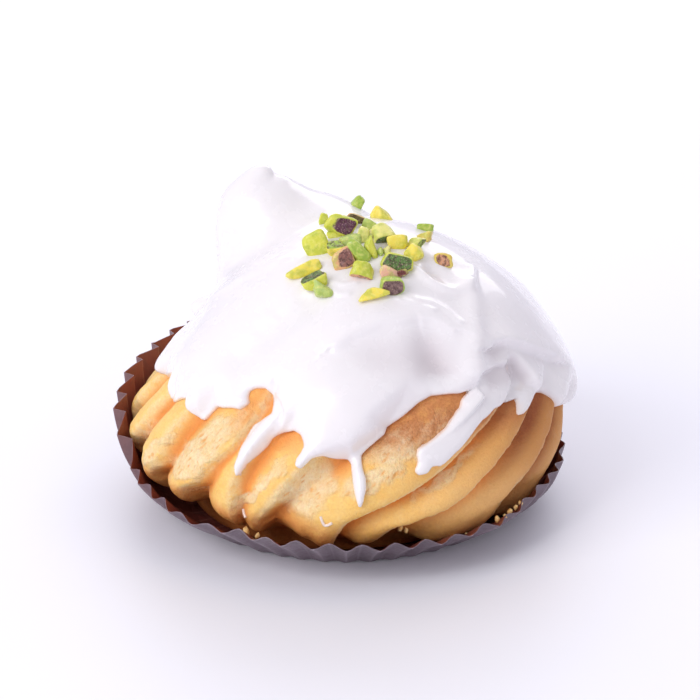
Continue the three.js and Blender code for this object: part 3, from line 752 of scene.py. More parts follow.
def choux_material():
    """Baked crust, golden, brown where it toasted and pale where it tore, with painted shade in the
    grooves, at the far right and below the feet.
    """
    material, tree, shader = new_material("baked choux")
    torn = point_mark(tree, "torn")
    crest = point_mark(tree, "crest")
    level = point_mark(tree, "dome_height")
    across = on_object(tree, "X")

    def times(first, second, clamp=False):
        return maths(tree, "MULTIPLY", first, second, clamp=clamp)

    # the whole crust, with painted shade on its right side and painted orange shade in its grooves
    golden, _ = mottled(tree, 70, 3, 0.5, (0.35, 0.65), *CHOUX_GOLD[:2])
    pale, specks = mottled(tree, 520, 4, 0.65, (0.35, 0.65), *CHOUX_PALE)
    browned, fine = mottled(tree, 2200, 3, 0.6, (0.3, 0.7), *CHOUX_BROWNED)
    golden = blend_colours(tree, spread(tree, specks, 0.35, 0.7, 0.0, 0.4), golden, CHOUX_GOLD[2])
    # painted shade: the crust turns a darker orange towards the right side
    shaded_right = blend_colours(tree, spread(tree, level, 12, 24), *CHOUX_SHADED_RIGHT)
    golden = blend_colours(tree, spread(tree, across, 0.0, 0.03, 0.0, 0.65), golden, shaded_right)
    browned = blend_colours(tree, spread(tree, across, -0.010, 0.002), CHOUX_ORANGE, browned)
    # painted orange shade down in the grooves
    skin = blend_colours(tree, spread(tree, crest, 0.0, 0.72, 0.9, 0.0), golden, CHOUX_GROOVE_SHADE)

    # the torn crumb: pale leaning fibres with browner pits
    leaning = tree.nodes.new("ShaderNodeMapping")
    leaning.inputs["Rotation"].default_value = (0.0, math.radians(BUN_FIBRE_LEAN), 0.0)
    leaning.inputs["Scale"].default_value = (1.0, 1.0, 0.28)
    link(tree, on_object(tree), leaning.inputs["Vector"])
    fibre = noise(tree, 1900, 3, 0.6, leaning.outputs["Vector"])
    pore = spread(tree, point_mark(tree, "pore"), 0.25, 1.0)
    dark_pits = maths(tree, "MAXIMUM", pore, spread(tree, fibre, 0.52, 0.78, 0.0, 0.4))
    open_crumb = blend_colours(tree, dark_pits, pale, CHOUX_PIT)
    opened = maths(tree, "ADD", torn, maths(tree, "MULTIPLY_ADD", specks, 0.9, -0.45))
    whole = blend_colours(tree, spread(tree, opened, 0.05, 0.75, 0.0, 0.9), skin, open_crumb)

    # toasted brown near the icing, crumbly pale along the sharp edges, browner at the foot, and painted
    # shade on the underside below the feet
    toasted = times(spread(tree, level, 23.5, 29.0), spread(tree, specks, 0.2, 0.6, 0.45, 0.9))
    toasted = times(toasted, spread(tree, across, -0.024, -0.017))
    whole = blend_colours(tree, toasted, whole, browned)
    edge = spread(tree, point_mark(tree, "rim"), 0.1, 1.0)
    crumbly = times(edge, spread(tree, specks, 0.35, 0.6, 0.1, 0.7))
    whole = blend_colours(tree, crumbly, whole, pale)
    foot = times(spread(tree, level, 8.0, 14.0, 1.0, 0.0), spread(tree, specks, 0.25, 0.6, 0.4, 0.85))
    foot = times(foot, spread(tree, across, -0.012, 0.012, 1.0, 0.2))
    whole = blend_colours(tree, foot, whole, CHOUX_FOOT)
    # painted shade: the underside below the feet in darker brown
    whole = blend_colours(tree, spread(tree, level, 2.5, 5.5, 1.0, 0.0), whole, CHOUX_UNDERSIDE_SHADE)
    # painted shade at the far right, darkest in the grooves and higher up under the icing, and a fine grain
    # over everything
    right_shade = maths(tree, "ADD", spread(tree, across, 0.022, 0.038), times(specks, 0.12))
    right_shade = times(right_shade, spread(tree, crest, 0.3, 0.98, 1.0, 0.45))
    right_shade = times(right_shade, spread(tree, level, 8, 24, 0.7, 1.15), clamp=True)
    whole = blend_colours(tree, right_shade, whole, CHOUX_RIGHT_SHADE)
    whole = blend_colours(tree, spread(tree, fine, 0.25, 0.75, 0.0, 0.22), whole, CHOUX_GRAIN)
    link(tree, whole, shader.inputs["Base Color"])
    link(tree, spread(tree, specks, 0.3, 0.7, 0.5, 0.68), shader.inputs["Roughness"])
    shader.inputs["Specular IOR Level"].default_value = 0.35
    shader.inputs["Subsurface Weight"].default_value = 0.15
    shader.inputs["Subsurface Radius"].default_value = (0.0016, 0.0009, 0.0004)
    shader.inputs["Subsurface Scale"].default_value = 1.0
    torn_height = times(fibre, spread(tree, opened, 0.1, 0.6))
    normal = bump(tree, specks, 0.3, 0.6, bump(tree, torn_height, 0.5, 0.8))
    link(tree, bump(tree, fine, 0.2, 0.8, normal), shader.inputs["Normal"])
    return material


bun_points, bun_faces, bun_marks = bun_mesh()
bun = new_piece("choux_pastry", bun_points.reshape(-1, 3), bun_faces, marks=bun_marks)
close_poles(bun)
bun.data.materials.append(choux_material())
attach(bun, "root")
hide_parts("choux_bun")

# ---------------------------------------------------------------- icing
# Thick white fondant icing was spooned over the bun while it flowed: it set with a rounded lip, ran
# down the grooves in drips, stands thick at the right and was pulled up into a soft peak at the back.

ICING_MIDDLE = 17.0  # height of the point that the slopes are measured from
# the lower edge, as bearing and slope, from the left side round the front, down each drip and back up
ICING_EDGE_FRONT = [
    (-92.3, 13.3), (-82.8, 15.0), (-74.7, 17.6), (-69.1, 20.7), (-68.5, 18.5), (-67.7, 16.4), (-66.4, 13.9),
    (-64.0, 13.9), (-59.6, 16.0), (-55.7, 17.6), (-54.2, 15.8), (-52.1, 14.3), (-49.3, 13.3), (-47.7, 14.0),
    (-46.6, 16.2), (-45.5, 18.4), (-40.3, 19.5), (-35.5, 20.0), (-33.6, 22.1), (-34.5, 23.8), (-34.5, 25.2),
    (-32.9, 26.4), (-29.6, 27.0), (-27.3, 25.7), (-26.0, 23.2), (-25.3, 20.9), (-27.7, 19.2), (-29.8, 17.0),
    (-30.5, 14.8), (-30.9, 11.7), (-29.9, 8.9), (-29.8, 6.5), (-28.2, 4.3), (-27.8, 7.4), (-26.1, 9.6),
    (-24.5, 12.1), (-23.9, 14.2), (-22.9, 15.3), (-21.3, 16.3), (-18.3, 17.5), (-15.7, 16.5), (-13.7, 14.2),
    (-13.7, 12.5), (-14.3, 11.0), (-14.2, 9.6), (-12.7, 9.0), (-11.8, 10.3), (-10.8, 11.5), (-8.1, 11.9),
    (-4.6, 10.9), (-1.3, 10.7), (-0.1, 9.8), (0.9, 7.2), (2.2, 3.5), (3.5, -0.4), (4.1, 1.5), (4.2, 4.4),
    (3.7, 6.9), (2.1, 9.8), (1.3, 11.9), (2.6, 13.4), (4.5, 14.8), (6.9, 17.2), (7.5, 19.1), (12.1, 21.7),
    (17.3, 24.6), (21.7, 26.2), (26.9, 25.8), (30.9, 25.4), (35.0, 25.7), (33.1, 24.7), (30.8, 23.4),
    (29.7, 21.5), (26.6, 19.4), (23.7, 17.0), (20.7, 15.2), (18.1, 13.8), (16.2, 13.0), (16.0, 11.8),
    (16.6, 10.0), (16.0, 7.9), (16.9, 7.1), (19.0, 7.3), (19.9, 8.7), (22.3, 8.5), (24.5, 9.9),
    (27.2, 11.7), (30.4, 14.3), (35.0, 17.5), (40.0, 19.3), (46.6, 19.2), (51.7, 19.1), (50.3, 17.3),
    (48.6, 15.3), (50.8, 15.0), (54.8, 16.2), (61.3, 17.7), (66.1, 16.0), (68.3, 12.6), (69.5, 10.4),
    (75.3, 7.9),
]
# round the back, where the edge waves in the same manner
ICING_EDGE_BACK = [
    (84, 6.5), (92, 7.5), (100, 10), (109, 16), (117, 18.5), (125, 14.5), (133, 10.5), (140, 11.5),
    (148, 16.5), (156, 18.5), (166, 15.5), (176, 13.5), (187, 14.5), (197, 18.5), (207, 20), (218, 15),
    (227, 11.5), (236, 14.5), (246, 19.5), (256, 18.5), (263, 15.0),
]
# bearing, thickness of the icing well inside the edge, how quickly it thickens from the edge, undercut
ICING_BODY = [
    (-150, 2.8, 2.4, 0.3), (-92, 2.5, 2.2, 0.3), (-60, 2.2, 2.0, 0.25), (-30, 2.4, 2.2, 0.25),
    (0, 2.8, 2.4, 0.3), (25, 2.8, 2.4, 0.3), (46, 3.4, 2.6, 0.3), (58, 4.2, 4.2, 0.2), (72, 4.3, 4.4, 0.2),
    (84, 4.0, 2.6, 0.7), (96, 3.8, 2.2, 0.9), (112, 3.8, 2.4, 0.6), (150, 3.1, 2.4, 0.4),
]
ICING_TOP = 7.0
ICING_TOP_FROM = 35  # slope from which it thickens towards the top
# broad swells and hollows: bearing, slope, half width and half height in degrees, rise in mm
ICING_SWELLS = [
    (-6, 24, 13, 12, 0.9), (24, 34.5, 8, 6, -1.1), (8, 38, 13, 6, -0.9), (66, 42, 14, 12, 0.3),
    (-60, 26, 10, 8, 0.5), (-92, 30, 16, 9, -1.7), (120, 34, 20, 16, 0.7), (165, 30, 20, 14, -0.7),
    (-120, 30, 18, 12, -0.5), (47, 62, 5, 3, -1.0),
]
# folds and drag marks: rise, half width, that of the side on the left of the path, the path in bearings
# and slopes
ICING_FOLDS = [
    (-1.5, 4.5, 4.5, [(-27, 53), (-32, 47), (-37, 40.5), (-41, 33)]),
    (0.8, 3.4, 1.3, [(34.8, 42.7), (28.6, 47.3), (23.3, 48.2), (7.8, 47.7), (-4.1, 44.2), (-8.5, 41.0)]),
    (1.1, 2.4, 2.4, [(56, 53), (47.6, 45.3), (40.7, 38.3), (36.3, 29.7)]),
    (0.8, 1.0, 1.5, [
        (35, 63.5), (37, 60.2), (38.8, 57.5), (42.7, 54.5), (46.7, 52.7), (53.2, 52.1), (60, 53), (70, 56),
    ]),
    (0.35, 0.5, 0.8, [(-15, 58.2), (-11, 56.6), (-6, 57)]),
    (0.3, 0.5, 0.8, [(-18, 61), (-9, 60), (-3, 61)]),
    (0.35, 0.5, 0.9, [(26, 53.5), (32.3, 51.4), (35.6, 48.9), (37.9, 43.5)]),
    (0.3, 0.5, 0.9, [(18, 54), (25, 51.8), (30, 49)]),
    (0.5, 1.6, 2.4, [(-87, 40), (-79, 46.5), (-75, 54), (-62, 63)]),
    (-1.1, 4.2, 3.0, [(24.5, 41), (25.5, 35), (26.5, 30.5)]),
    (-1.7, 4.6, 0.8, [(48, 34.0), (52, 33.6), (58, 31.0), (66, 26.2), (73, 22)]),
    (0.4, 0.8, 2.6, [(44, 36.4), (50, 35.2), (57, 32.6), (67, 27.6), (78, 21)]),
    (0.25, 0.35, 0.35, [(50, 25.2), (43, 22.6), (36, 19.0), (29, 15.2), (23, 11.8)]),
    (0.25, 0.35, 0.35, [(49, 23.2), (42, 20.6), (36, 17.4), (30, 14.2)]),
]
# thin places: thickness there, half width, softness of the step, the path
ICING_THIN = [
    (1.3, 2.7, 0.7, [(50, 24.0), (44, 22), (38, 18.8), (31, 15.2), (24.5, 11.8), (18, 8.6)]),
    (1.3, 2.2, 1.0, [(40, 25.4), (46, 26.0), (51, 25.0)]),
    (0.6, 0.8, 2.6, [(53.8, 26.8), (55.0, 23.5), (54.5, 21.5)]),
    (0.9, 1.3, 1.6, [(57, 18.6), (51, 15.2)]),
    (1.1, 2.6, 1.4, [(-26, 21), (-28, 15), (-29, 10), (-28.5, 5)]),
]
ICING_THIN_RATE = 0.8
ICING_SHADED_BELOW = 2.9  # thickness below which the icing gets painted shade
ICING_SMOOTH_FROM = (0.8, 6.5)  # distances inside the edge over which the surface stops following the ribs
ICING_SMOOTH_CREST = 0.8  # height of the smoothed ribs, as a share of a crest's
ICING_EDGE_GROWTH = 0.12
ICING_EDGE_STRAY = (0.18, 2.6, 31)  # distance, width and seed
ICING_OUTSIDE_FALL = 2.5  # how steeply its surface dives outside the edge
ICING_LIP_ROUND = 0.6  # power that rounds the lip: less is rounder
ICING_RIPPLES = ((0.28, 13, 32), (0.07, 5, 33))  # height, width and seed
ICING_RIPPLES_FROM = (0.5, 4)
ICING_SLANT = 0.95  # the surface slants, so that share of a distance towards the middle counts as depth
# the soft peak: middle (across, back, height) and half sizes of the rounded masses that make it up
ICING_PEAK = [
    ((-9.5, 13.5, 44.0), (17.0, 13.0, 11.0)),
    ((-11.0, 14.5, 51.0), (15.5, 11.5, 8.4)),
    ((-17.0, 14.5, 56.5), (8.6, 7.2, 6.6)),
]
ICING_PEAK_BLEND = 4.0
ICING_TIP = [  # middle and radius of the balls that make it up
    ((-18.5, 14.5, 60.0), 3.4), ((-17.6, 14.5, 62.4), 2.0), ((-16.6, 14.3, 63.6), 1.0),
    ((-13.2, 14.0, 60.9), 1.2),
]
ICING_TIP_BLEND = 2.0
ICING_CURL = [((-28.9, 12.0, 36.0), 1.7), ((-31.0, 12.0, 35.6), 0.9)]  # a small lick of icing at the left
ICING_STEP = 0.45
ICING_BOX = np.array([(-46.0, -48.0, 12.0), (52.0, 48.0, 67.0)])  # opposite corners of a box round it
ICING_SINK = 0.8  # how far the icing's underside lies inside the crust
ICING_REACH = 43 * math.pi / 180  # mm for a degree over the dome
ICING_MAP_STEP = 0.5  # degrees between the columns and the rows of a map of bearings and slopes
ICING_MAP_LOWEST = -12
ICING_HIDDEN_BELOW = -0.35  # height over the crust under which the icing can't be seen
ICING_KEPT_FACES = 0.66  # share of all faces that stay when the hidden ones are thinned
ICING_SHADE_FROM = (2, 5)  # distances inside the edge between which the painted shade begins
ICING_SHADE_BEARINGS = (-20, 5, 85, 100)  # bearings between which it comes and goes


def off_path(bearing, slope, path):
    """Distance in mm over the dome from a path of bearings and slopes, and True to the left of the path."""
    best = np.full(bearing.shape, 1e9)
    left = np.zeros(bearing.shape, bool)
    for start, end in zip(path, path[1:]):
        squeeze = math.cos(math.radians((start[1] + end[1]) / 2)) * ICING_REACH
        dx, dy = (end[0] - start[0]) * squeeze, (end[1] - start[1]) * ICING_REACH
        px = ((bearing - start[0] + 180) % 360 - 180) * squeeze
        py = (slope - start[1]) * ICING_REACH
        share = np.clip((px * dx + py * dy) / (dx * dx + dy * dy), 0, 1)
        away = np.hypot(px - share * dx, py - share * dy)
        left = np.where(away < best, dx * py > dy * px, left)
        best = np.minimum(best, away)
    return best, left


def edge_map(bearing, slope):
    """Distance in mm inside the icing's edge, below zero outside it, over a grid of bearings and slopes."""
    outline = ICING_EDGE_FRONT + ICING_EDGE_BACK
    first = outline[0]
    away, _ = off_path(bearing, slope, outline + [(first[0] + 360, first[1])])
    crossings = np.zeros(bearing.shape, int)
    turned = [(b + turn, s) for turn in (-360, 0, 360) for b, s in outline]
    for start, end in zip(turned, turned[1:]):
        spans = (start[0] <= bearing) != (end[0] <= bearing)
        at = start[1] + (bearing - start[0]) / ((end[0] - start[0]) or 1) * (end[1] - start[1])
        crossings += spans & (at < slope)
    return np.where(crossings % 2 == 1, away, -away)


def dome_map(bearing, slope, ribbed=True):
    """Distance of the bun's surface from the middle, over a grid of bearings and slopes."""
    distances = np.linspace(30, bun_length, 150)
    profile, direction = along(bun_curve, distances)
    grid_b, height = np.meshgrid(bearing, profile[:, 1])
    _, _, shape, span = rib_shape(grid_b, height)
    shape = shape if ribbed else np.full(shape.shape, ICING_SMOOTH_CREST)
    out = rib_depth(height, span if ribbed else BUN_FULL_SPAN) * (shape - 1 + BUN_CREST_SHARE)
    radius = profile[:, :1] - drawn_in(grid_b, height) + out * direction[:, 1:2]
    rise = height - out * direction[:, :1] - ICING_MIDDLE
    angle = np.degrees(np.arctan2(rise, radius))
    reach = np.hypot(rise, radius)
    result = np.empty((len(slope), len(bearing)))
    for column in range(len(bearing)):
        order = np.argsort(angle[:, column])
        result[:, column] = np.interp(slope, angle[order, column], reach[order, column])
    return result


def sample(table, bearing, slope):
    """Reads a map of bearings and slopes between its grid points."""
    column = (bearing + 180) / ICING_MAP_STEP
    row = np.clip((slope - ICING_MAP_LOWEST) / ICING_MAP_STEP, 0, table.shape[0] - 1.001)
    c0 = np.floor(column).astype(int)
    r0 = np.floor(row).astype(int)
    fc, fr = column - c0, row - r0
    c0 %= table.shape[1]
    c1 = (c0 + 1) % table.shape[1]
    low = table[r0, c0] * (1 - fc) + table[r0, c1] * fc
    high = table[r0 + 1, c0] * (1 - fc) + table[r0 + 1, c1] * fc
    return low * (1 - fr) + high * fr


def thickness_maps(bearing, slope):
    """How thick the icing is well inside its edge, and how quickly it gets there from the edge."""
    full = all_round(ICING_BODY, bearing, 1)
    full = full + (ICING_TOP - full) * ramp(slope, ICING_TOP_FROM, 90)
    top = ramp(90 - slope, 0, 15)
    for middle, level, half_width, half_height, rise in ICING_SWELLS:
        off = (bearing - middle + 180) % 360 - 180
        full = full + rise * np.exp(-((off / half_width) ** 2) - ((slope - level) / half_height) ** 2) * top
    for rise, half_width, left_width, path in ICING_FOLDS:
        away, left = off_path(bearing, slope, path)
        full = full + rise * np.exp(-((away / np.where(left, left_width, half_width)) ** 2))
    rate = all_round(ICING_BODY, bearing, 2)
    for thickness, half_width, softness, path in ICING_THIN:
        away, _ = off_path(bearing, slope, path)
        there = 1 - ramp(away, half_width, half_width + softness)
        full = full + (thickness - full) * there
        rate = rate + (ICING_THIN_RATE - rate) * there
    return np.maximum(full, 0.05), rate


def soft_union(first, second, reach):
    """Two bodies' distances joined into one body's, with the seam rounded."""
    share = np.clip(0.5 + 0.5 * (second - first) / reach, 0, 1)
    return second + (first - second) * share - reach * share * (1 - share)


def rounded_mass(points, middle, half_sizes):
    """Distance to an egg-shaped mass, near enough."""
    offset = (points - np.array(middle)) / np.array(half_sizes)
    reach = np.linalg.norm(offset, axis=-1)
    slope = np.linalg.norm(offset / np.array(half_sizes), axis=-1)
    return reach * (reach - 1) / np.maximum(slope, 1e-6)


def on_dome(points):
    """Bearing, slope and distance of points as seen from the middle of the dome."""
    x = points[..., 0] - up_table(BUN_SHIFT, points[..., 2])
    y = points[..., 1]
    z = points[..., 2] - ICING_MIDDLE
    level = np.hypot(x, y)
    return np.degrees(np.arctan2(x, -y)), np.degrees(np.arctan2(z, level)), np.hypot(level, z)


def icing_field(points):
    """Below zero inside the icing, above zero outside, in mm."""
    bearing, slope, reach = on_dome(points)
    above = (reach - sample(icing_base, bearing, slope)) * ICING_SLANT
    edge = sample(inside_edge, bearing, slope)
    edge = edge + ICING_EDGE_GROWTH + ICING_EDGE_STRAY[0] * grain(points, *ICING_EDGE_STRAY[1:])
    undercut = all_round(ICING_BODY, bearing, 3)
    full = sample(icing_full, bearing, slope)
    edge = edge + undercut * np.sin(np.pi * np.clip(above / full, 0, 1))
    rate = sample(icing_rate, bearing, slope)
    thick = full * np.power(1 - np.exp(-np.maximum(edge, 0) / rate), ICING_LIP_ROUND)
    thick = np.where(edge < 0, edge * ICING_OUTSIDE_FALL, thick)
    ripple = sum(rise * grain(points, width, seed) for rise, width, seed in ICING_RIPPLES)
    field = above - thick - ripple * ramp(edge, *ICING_RIPPLES_FROM)
    for middle, half_sizes in ICING_PEAK:
        field = soft_union(field, rounded_mass(points, middle, half_sizes), ICING_PEAK_BLEND)
    for middle, radius in ICING_TIP + ICING_CURL:
        ball = np.linalg.norm(points - np.array(middle), axis=-1) - radius
        field = soft_union(field, ball, ICING_TIP_BLEND)
    return np.maximum(field, -ICING_SINK - (reach - sample(dome, bearing, slope)) * ICING_SLANT)


def settled(points, rounds=2, probe=0.06, longest=0.12):
    """The points of a mesh moved onto the icing's true surface, which evens out the grid's steps."""
    for _ in range(rounds):
        here = icing_field(points)
        slope = np.stack([icing_field(points + axis * probe) - here for axis in np.eye(3)], -1) / probe
        move = np.clip(-here / np.maximum(np.sum(slope**2, axis=-1), 0.3), -longest, longest)
        points = points + slope * move[:, None]
    return points


def skin_of(field, origin, step):
    """A mesh of the surface where a grid of values changes sign: one point a cell, smooth and closed."""
    below = field < 0
    size = np.array(field.shape) - 1
    total = np.zeros(tuple(size) + (3,), np.float32)
    count = np.zeros(tuple(size), np.int16)
    corner = np.array([(i, j, k) for i in (0, 1) for j in (0, 1) for k in (0, 1)])
    for axis in range(3):
        for start in corner[corner[:, axis] == 0]:
            end = start.copy()
            end[axis] = 1
            low = tuple(slice(s, s + n) for s, n in zip(start, size))
            high = tuple(slice(s, s + n) for s, n in zip(end, size))
            crosses = below[low] != below[high]
            a, b = field[low][crosses], field[high][crosses]
            share = a / (a - b)
            place = np.repeat(start[None].astype(np.float32), len(share), axis=0)
            place[:, axis] += share
            total[crosses] += place
            count[crosses] += 1
    cells = count > 0
    number = np.full(cells.shape, -1, np.int64)
    number[cells] = np.arange(cells.sum())
    index = np.argwhere(cells)
    points = origin + (index + total[cells] / count[cells][:, None]) * step
    faces = []
    for axis in range(3):
        one, two = (axis + 1) % 3, (axis + 2) % 3
        low = [slice(1, n) for n in size]
        low[axis] = slice(0, size[axis])
        high = list(low)
        high[axis] = slice(1, size[axis] + 1)
        crosses = below[tuple(low)] != below[tuple(high)]
        at = np.argwhere(crosses) + np.array([0 if a == axis else 1 for a in range(3)])
        leaving = below[tuple(low)][crosses]
        ring = []
        for back_one, back_two in ((0, 0), (1, 0), (1, 1), (0, 1)):
            cell = at.copy()
            cell[:, one] -= back_one
            cell[:, two] -= back_two
            ring.append(number[cell[:, 0], cell[:, 1], cell[:, 2]])
        quad = np.stack(ring, -1)
        quad[~leaving] = quad[~leaving][:, ::-1]
        faces.append(quad)
    return points, np.concatenate(faces)


map_bearing = np.arange(-180, 180, ICING_MAP_STEP)
map_slope = np.arange(ICING_MAP_LOWEST, 90.01, ICING_MAP_STEP)
grid_bearing, grid_slope = np.meshgrid(map_bearing, map_slope)
inside_edge = edge_map(grid_bearing, grid_slope)
dome = dome_map(map_bearing, map_slope)
smooth_dome = dome_map(map_bearing, map_slope, ribbed=False)
icing_base = dome + (smooth_dome - dome) * ramp(inside_edge, *ICING_SMOOTH_FROM)
icing_full, icing_rate = thickness_maps(grid_bearing, grid_slope)
icing_low, icing_high = ICING_BOX
icing_cells = np.ceil((icing_high - icing_low) / ICING_STEP).astype(int)
icing_axes = [low + np.arange(n) * ICING_STEP for low, n in zip(icing_low, icing_cells)]
across_axis, back_axis, up_axis = icing_axes
icing_values = np.empty(tuple(icing_cells), np.float32)
for row, x in enumerate(across_axis):
    plane = np.stack(np.meshgrid([x], back_axis, up_axis, indexing="ij"), -1)[0]
    icing_values[row] = icing_field(plane)
icing_points, icing_faces = skin_of(icing_values, icing_low, ICING_STEP)
icing_points = settled(icing_points)


def over_bun(points):
    """How far points lie over the bun's ribbed surface in mm."""
    bearing, slope, reach = on_dome(points)
    return reach - sample(dome, bearing, slope)


def veil(points):
    """Where thin icing at the right gets grey painted shade, from 0 to 1."""
    bearing, slope, _ = on_dome(points)
    thin = np.clip((ICING_SHADED_BELOW - sample(icing_full, bearing, slope)) / ICING_SHADED_BELOW, 0, 1)
    off_edge = ramp(sample(inside_edge, bearing, slope), *ICING_SHADE_FROM)
    start, full, falling, end = ICING_SHADE_BEARINGS
    return thin * off_edge * ramp(bearing, start, full) * (1 - ramp(bearing, falling, end))


ICING_WHITE = (srgb(247, 243, 246), srgb(241, 237, 241))
# grey painted shade for thin icing at the right
ICING_SHADE_GREY = srgb(200, 187, 193)
ICING_OVER_CRUST = srgb(255, 222, 196)


def icing_material():
    """Glossy white fondant: warmer at its thin edges, with grey painted shade over its thin right side."""
    material, tree, shader = new_material("white icing")
    tone = blend_colours(tree, noise(tree, 30, 1, 0.4), *ICING_WHITE)
    # painted shade: grey laid on where the icing is thin at the right
    shade_share = maths(tree, "MULTIPLY", point_mark(tree, "veil"), 0.75)
    tone = blend_colours(tree, shade_share, tone, ICING_SHADE_GREY)
    thin = spread(tree, point_mark(tree, "thick"), 0.15, 0.95, 0.55, 0.0)
    link(tree, blend_colours(tree, thin, tone, ICING_OVER_CRUST), shader.inputs["Base Color"])
    ripple = noise(tree, 260, 3, 0.5)
    link(tree, spread(tree, ripple, 0.3, 0.7, 0.2, 0.3), shader.inputs["Roughness"])
    shader.inputs["Subsurface Weight"].default_value = 0.2
    shader.inputs["Subsurface Radius"].default_value = (0.003, 0.0028, 0.0028)
    shader.inputs["Subsurface Scale"].default_value = 1.0
    shader.inputs["Coat Weight"].default_value = 0.4
    shader.inputs["Coat Roughness"].default_value = 0.06
    link(tree, bump(tree, ripple, 0.1, 0.3), shader.inputs["Normal"])
    return material


icing_depth = over_bun(icing_points)
icing_marks = {"thick": icing_depth, "veil": veil(icing_points)}
icing = new_piece("icing_cap", icing_points, icing_faces, marks=icing_marks)
hidden = icing.vertex_groups.new(name="hidden")
hidden.add(np.flatnonzero(icing_depth < ICING_HIDDEN_BELOW).tolist(), 1.0, "REPLACE")
thinned = icing.modifiers.new("fewer faces where hidden", "DECIMATE")
thinned.ratio = ICING_KEPT_FACES
thinned.vertex_group = hidden.name
thinned.vertex_group_factor = 1000
bake_modifiers(icing)
icing.data.materials.append(icing_material())
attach(icing, "root")
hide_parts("icing")

# ---------------------------------------------------------------- icing smears
# Two thin smears of the same white icing, left on the crust near its foot where a drip or a finger
# touched it. They are no thicker than a thread.

SMEAR_PATHS = [  # bearings and slopes
    [(-26.9, -8.2), (-26.6, -9.0), (-26.1, -9.8), (-25.5, -10.2)],
    [(-5.6, -4.2), (-4.9, -5.6), (-4.2, -6.6), (-3.4, -6.5), (-2.5, -5.6)],
]
SMEAR_WIDTH = 0.55
SMEAR_LIFT = 0.05  # how far the middle of a smear stands over the crust
SMEAR_END_SHARE = 0.3  # width at the ends, as a share of that in the middle
SMEAR_SIDES = 10


def smear_lines():
    """The smears' middle lines, laid on the crust."""
    points, edges = [], []
    for path in SMEAR_PATHS:
        laid = through(path, 5)
        reach = sample(dome, laid[:, 0], laid[:, 1]) + SMEAR_LIFT
        slope = np.radians(laid[:, 1])
        height = ICING_MIDDLE + reach * np.sin(slope)
        spot = dome_place(laid[:, 0], reach * np.cos(slope), height)
        start = len(points)
        points += spot.tolist()
        edges += [(start + i, start + i + 1) for i in range(len(laid) - 1)]
    lines = bpy.data.meshes.new("smear lines")
    lines.from_pydata([[value * 0.001 for value in spot] for spot in points], edges, [])
    return lines


def smear_drawer():
    """A tree that turns lines into flat rounded threads that narrow at both ends."""
    inputs = [("Lines", "Geometry"), ("Width", "Float"), ("Icing", "Material")]
    tree, into, out = start_tree("draw threads on lines", inputs, "Threads")
    curve = tree.nodes.new("GeometryNodeMeshToCurve")
    link(tree, into.outputs["Lines"], curve.inputs[0])
    share = tree.nodes.new("GeometryNodeSplineParameter").outputs["Factor"]
    swell = maths(tree, "SINE", maths(tree, "MULTIPLY", share, math.pi))
    half = maths(tree, "MULTIPLY", into.outputs["Width"], 0.5)
    radius = tree.nodes.new("GeometryNodeSetCurveRadius")
    link(tree, curve.outputs[0], radius.inputs["Curve"])
    narrowed = maths(tree, "MULTIPLY_ADD", swell, 1 - SMEAR_END_SHARE, SMEAR_END_SHARE)
    link(tree, narrowed, radius.inputs["Radius"])
    ring = tree.nodes.new("GeometryNodeCurvePrimitiveCircle")
    ring.inputs["Resolution"].default_value = SMEAR_SIDES
    link(tree, half, ring.inputs["Radius"])
    tube = tree.nodes.new("GeometryNodeCurveToMesh")
    link(tree, radius.outputs[0], tube.inputs["Curve"])
    link(tree, ring.outputs["Curve"], tube.inputs["Profile Curve"])
    tube.inputs["Fill Caps"].default_value = True
    finish_tree(tree, tube.outputs[0], "Icing", into, out)
    return tree


smears = bpy.data.objects.new("icing_smears", smear_lines())
bpy.context.scene.collection.objects.link(smears)
apply_tree(smears, smear_drawer(), {"Width": SMEAR_WIDTH * 0.001, "Icing": icing.data.materials[0]})
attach(smears, "root")
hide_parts("icing")

# ---------------------------------------------------------------- pastry crumbs
# Crumbs of baked choux of about 1 mm, broken off the ribs' feet as the bun was set in its case: they
# cling to the lower edges and lie on the paper there.

CRUMB_PLACES = [  # bearing, radius, height, size
    (-28.5, 39.4, 7.4, 1.6), (-25.0, 39.6, 7.2, 0.9), (14.4, 39.9, 10.2, 1.1), (16.2, 39.6, 9.4, 0.8),
    (30.5, 39.7, 6.3, 0.9), (34.6, 40.0, 6.0, 0.8), (38.9, 41.6, 7.4, 0.8), (41.8, 42.6, 8.7, 1.0),
    (44.2, 43.0, 8.9, 0.7), (46.1, 42.9, 9.2, 1.1), (48.4, 43.0, 9.6, 0.8), (50.3, 43.0, 9.9, 0.9),
]
CRUMB_DETAIL = 2
CRUMB_FORM = np.array([1.3, 0.8, 0.9])  # length, width and thickness of a crumb of size 1
CRUMB_ROUGH = ((0.6, 0.35, 71), (0.3, 0.16, 72))  # height, width and seed of its lumps
CRUMB_SEED = 5


def crumb_shape():
    """One rough crumb, about 1 mm across."""
    work = bmesh.new()
    bmesh.ops.create_icosphere(work, subdivisions=CRUMB_DETAIL, radius=0.5)
    points = np.array([vertex.co[:] for vertex in work.verts])
    rough = sum(rise * grain(points, width, seed) for rise, width, seed in CRUMB_ROUGH)
    points *= (1 + rough)[:, None] * CRUMB_FORM
    faces = [[vertex.index for vertex in face.verts] for face in work.faces]
    work.free()
    crumb = new_piece("crumb", points, faces)
    bpy.context.scene.collection.objects.unlink(crumb)
    return crumb


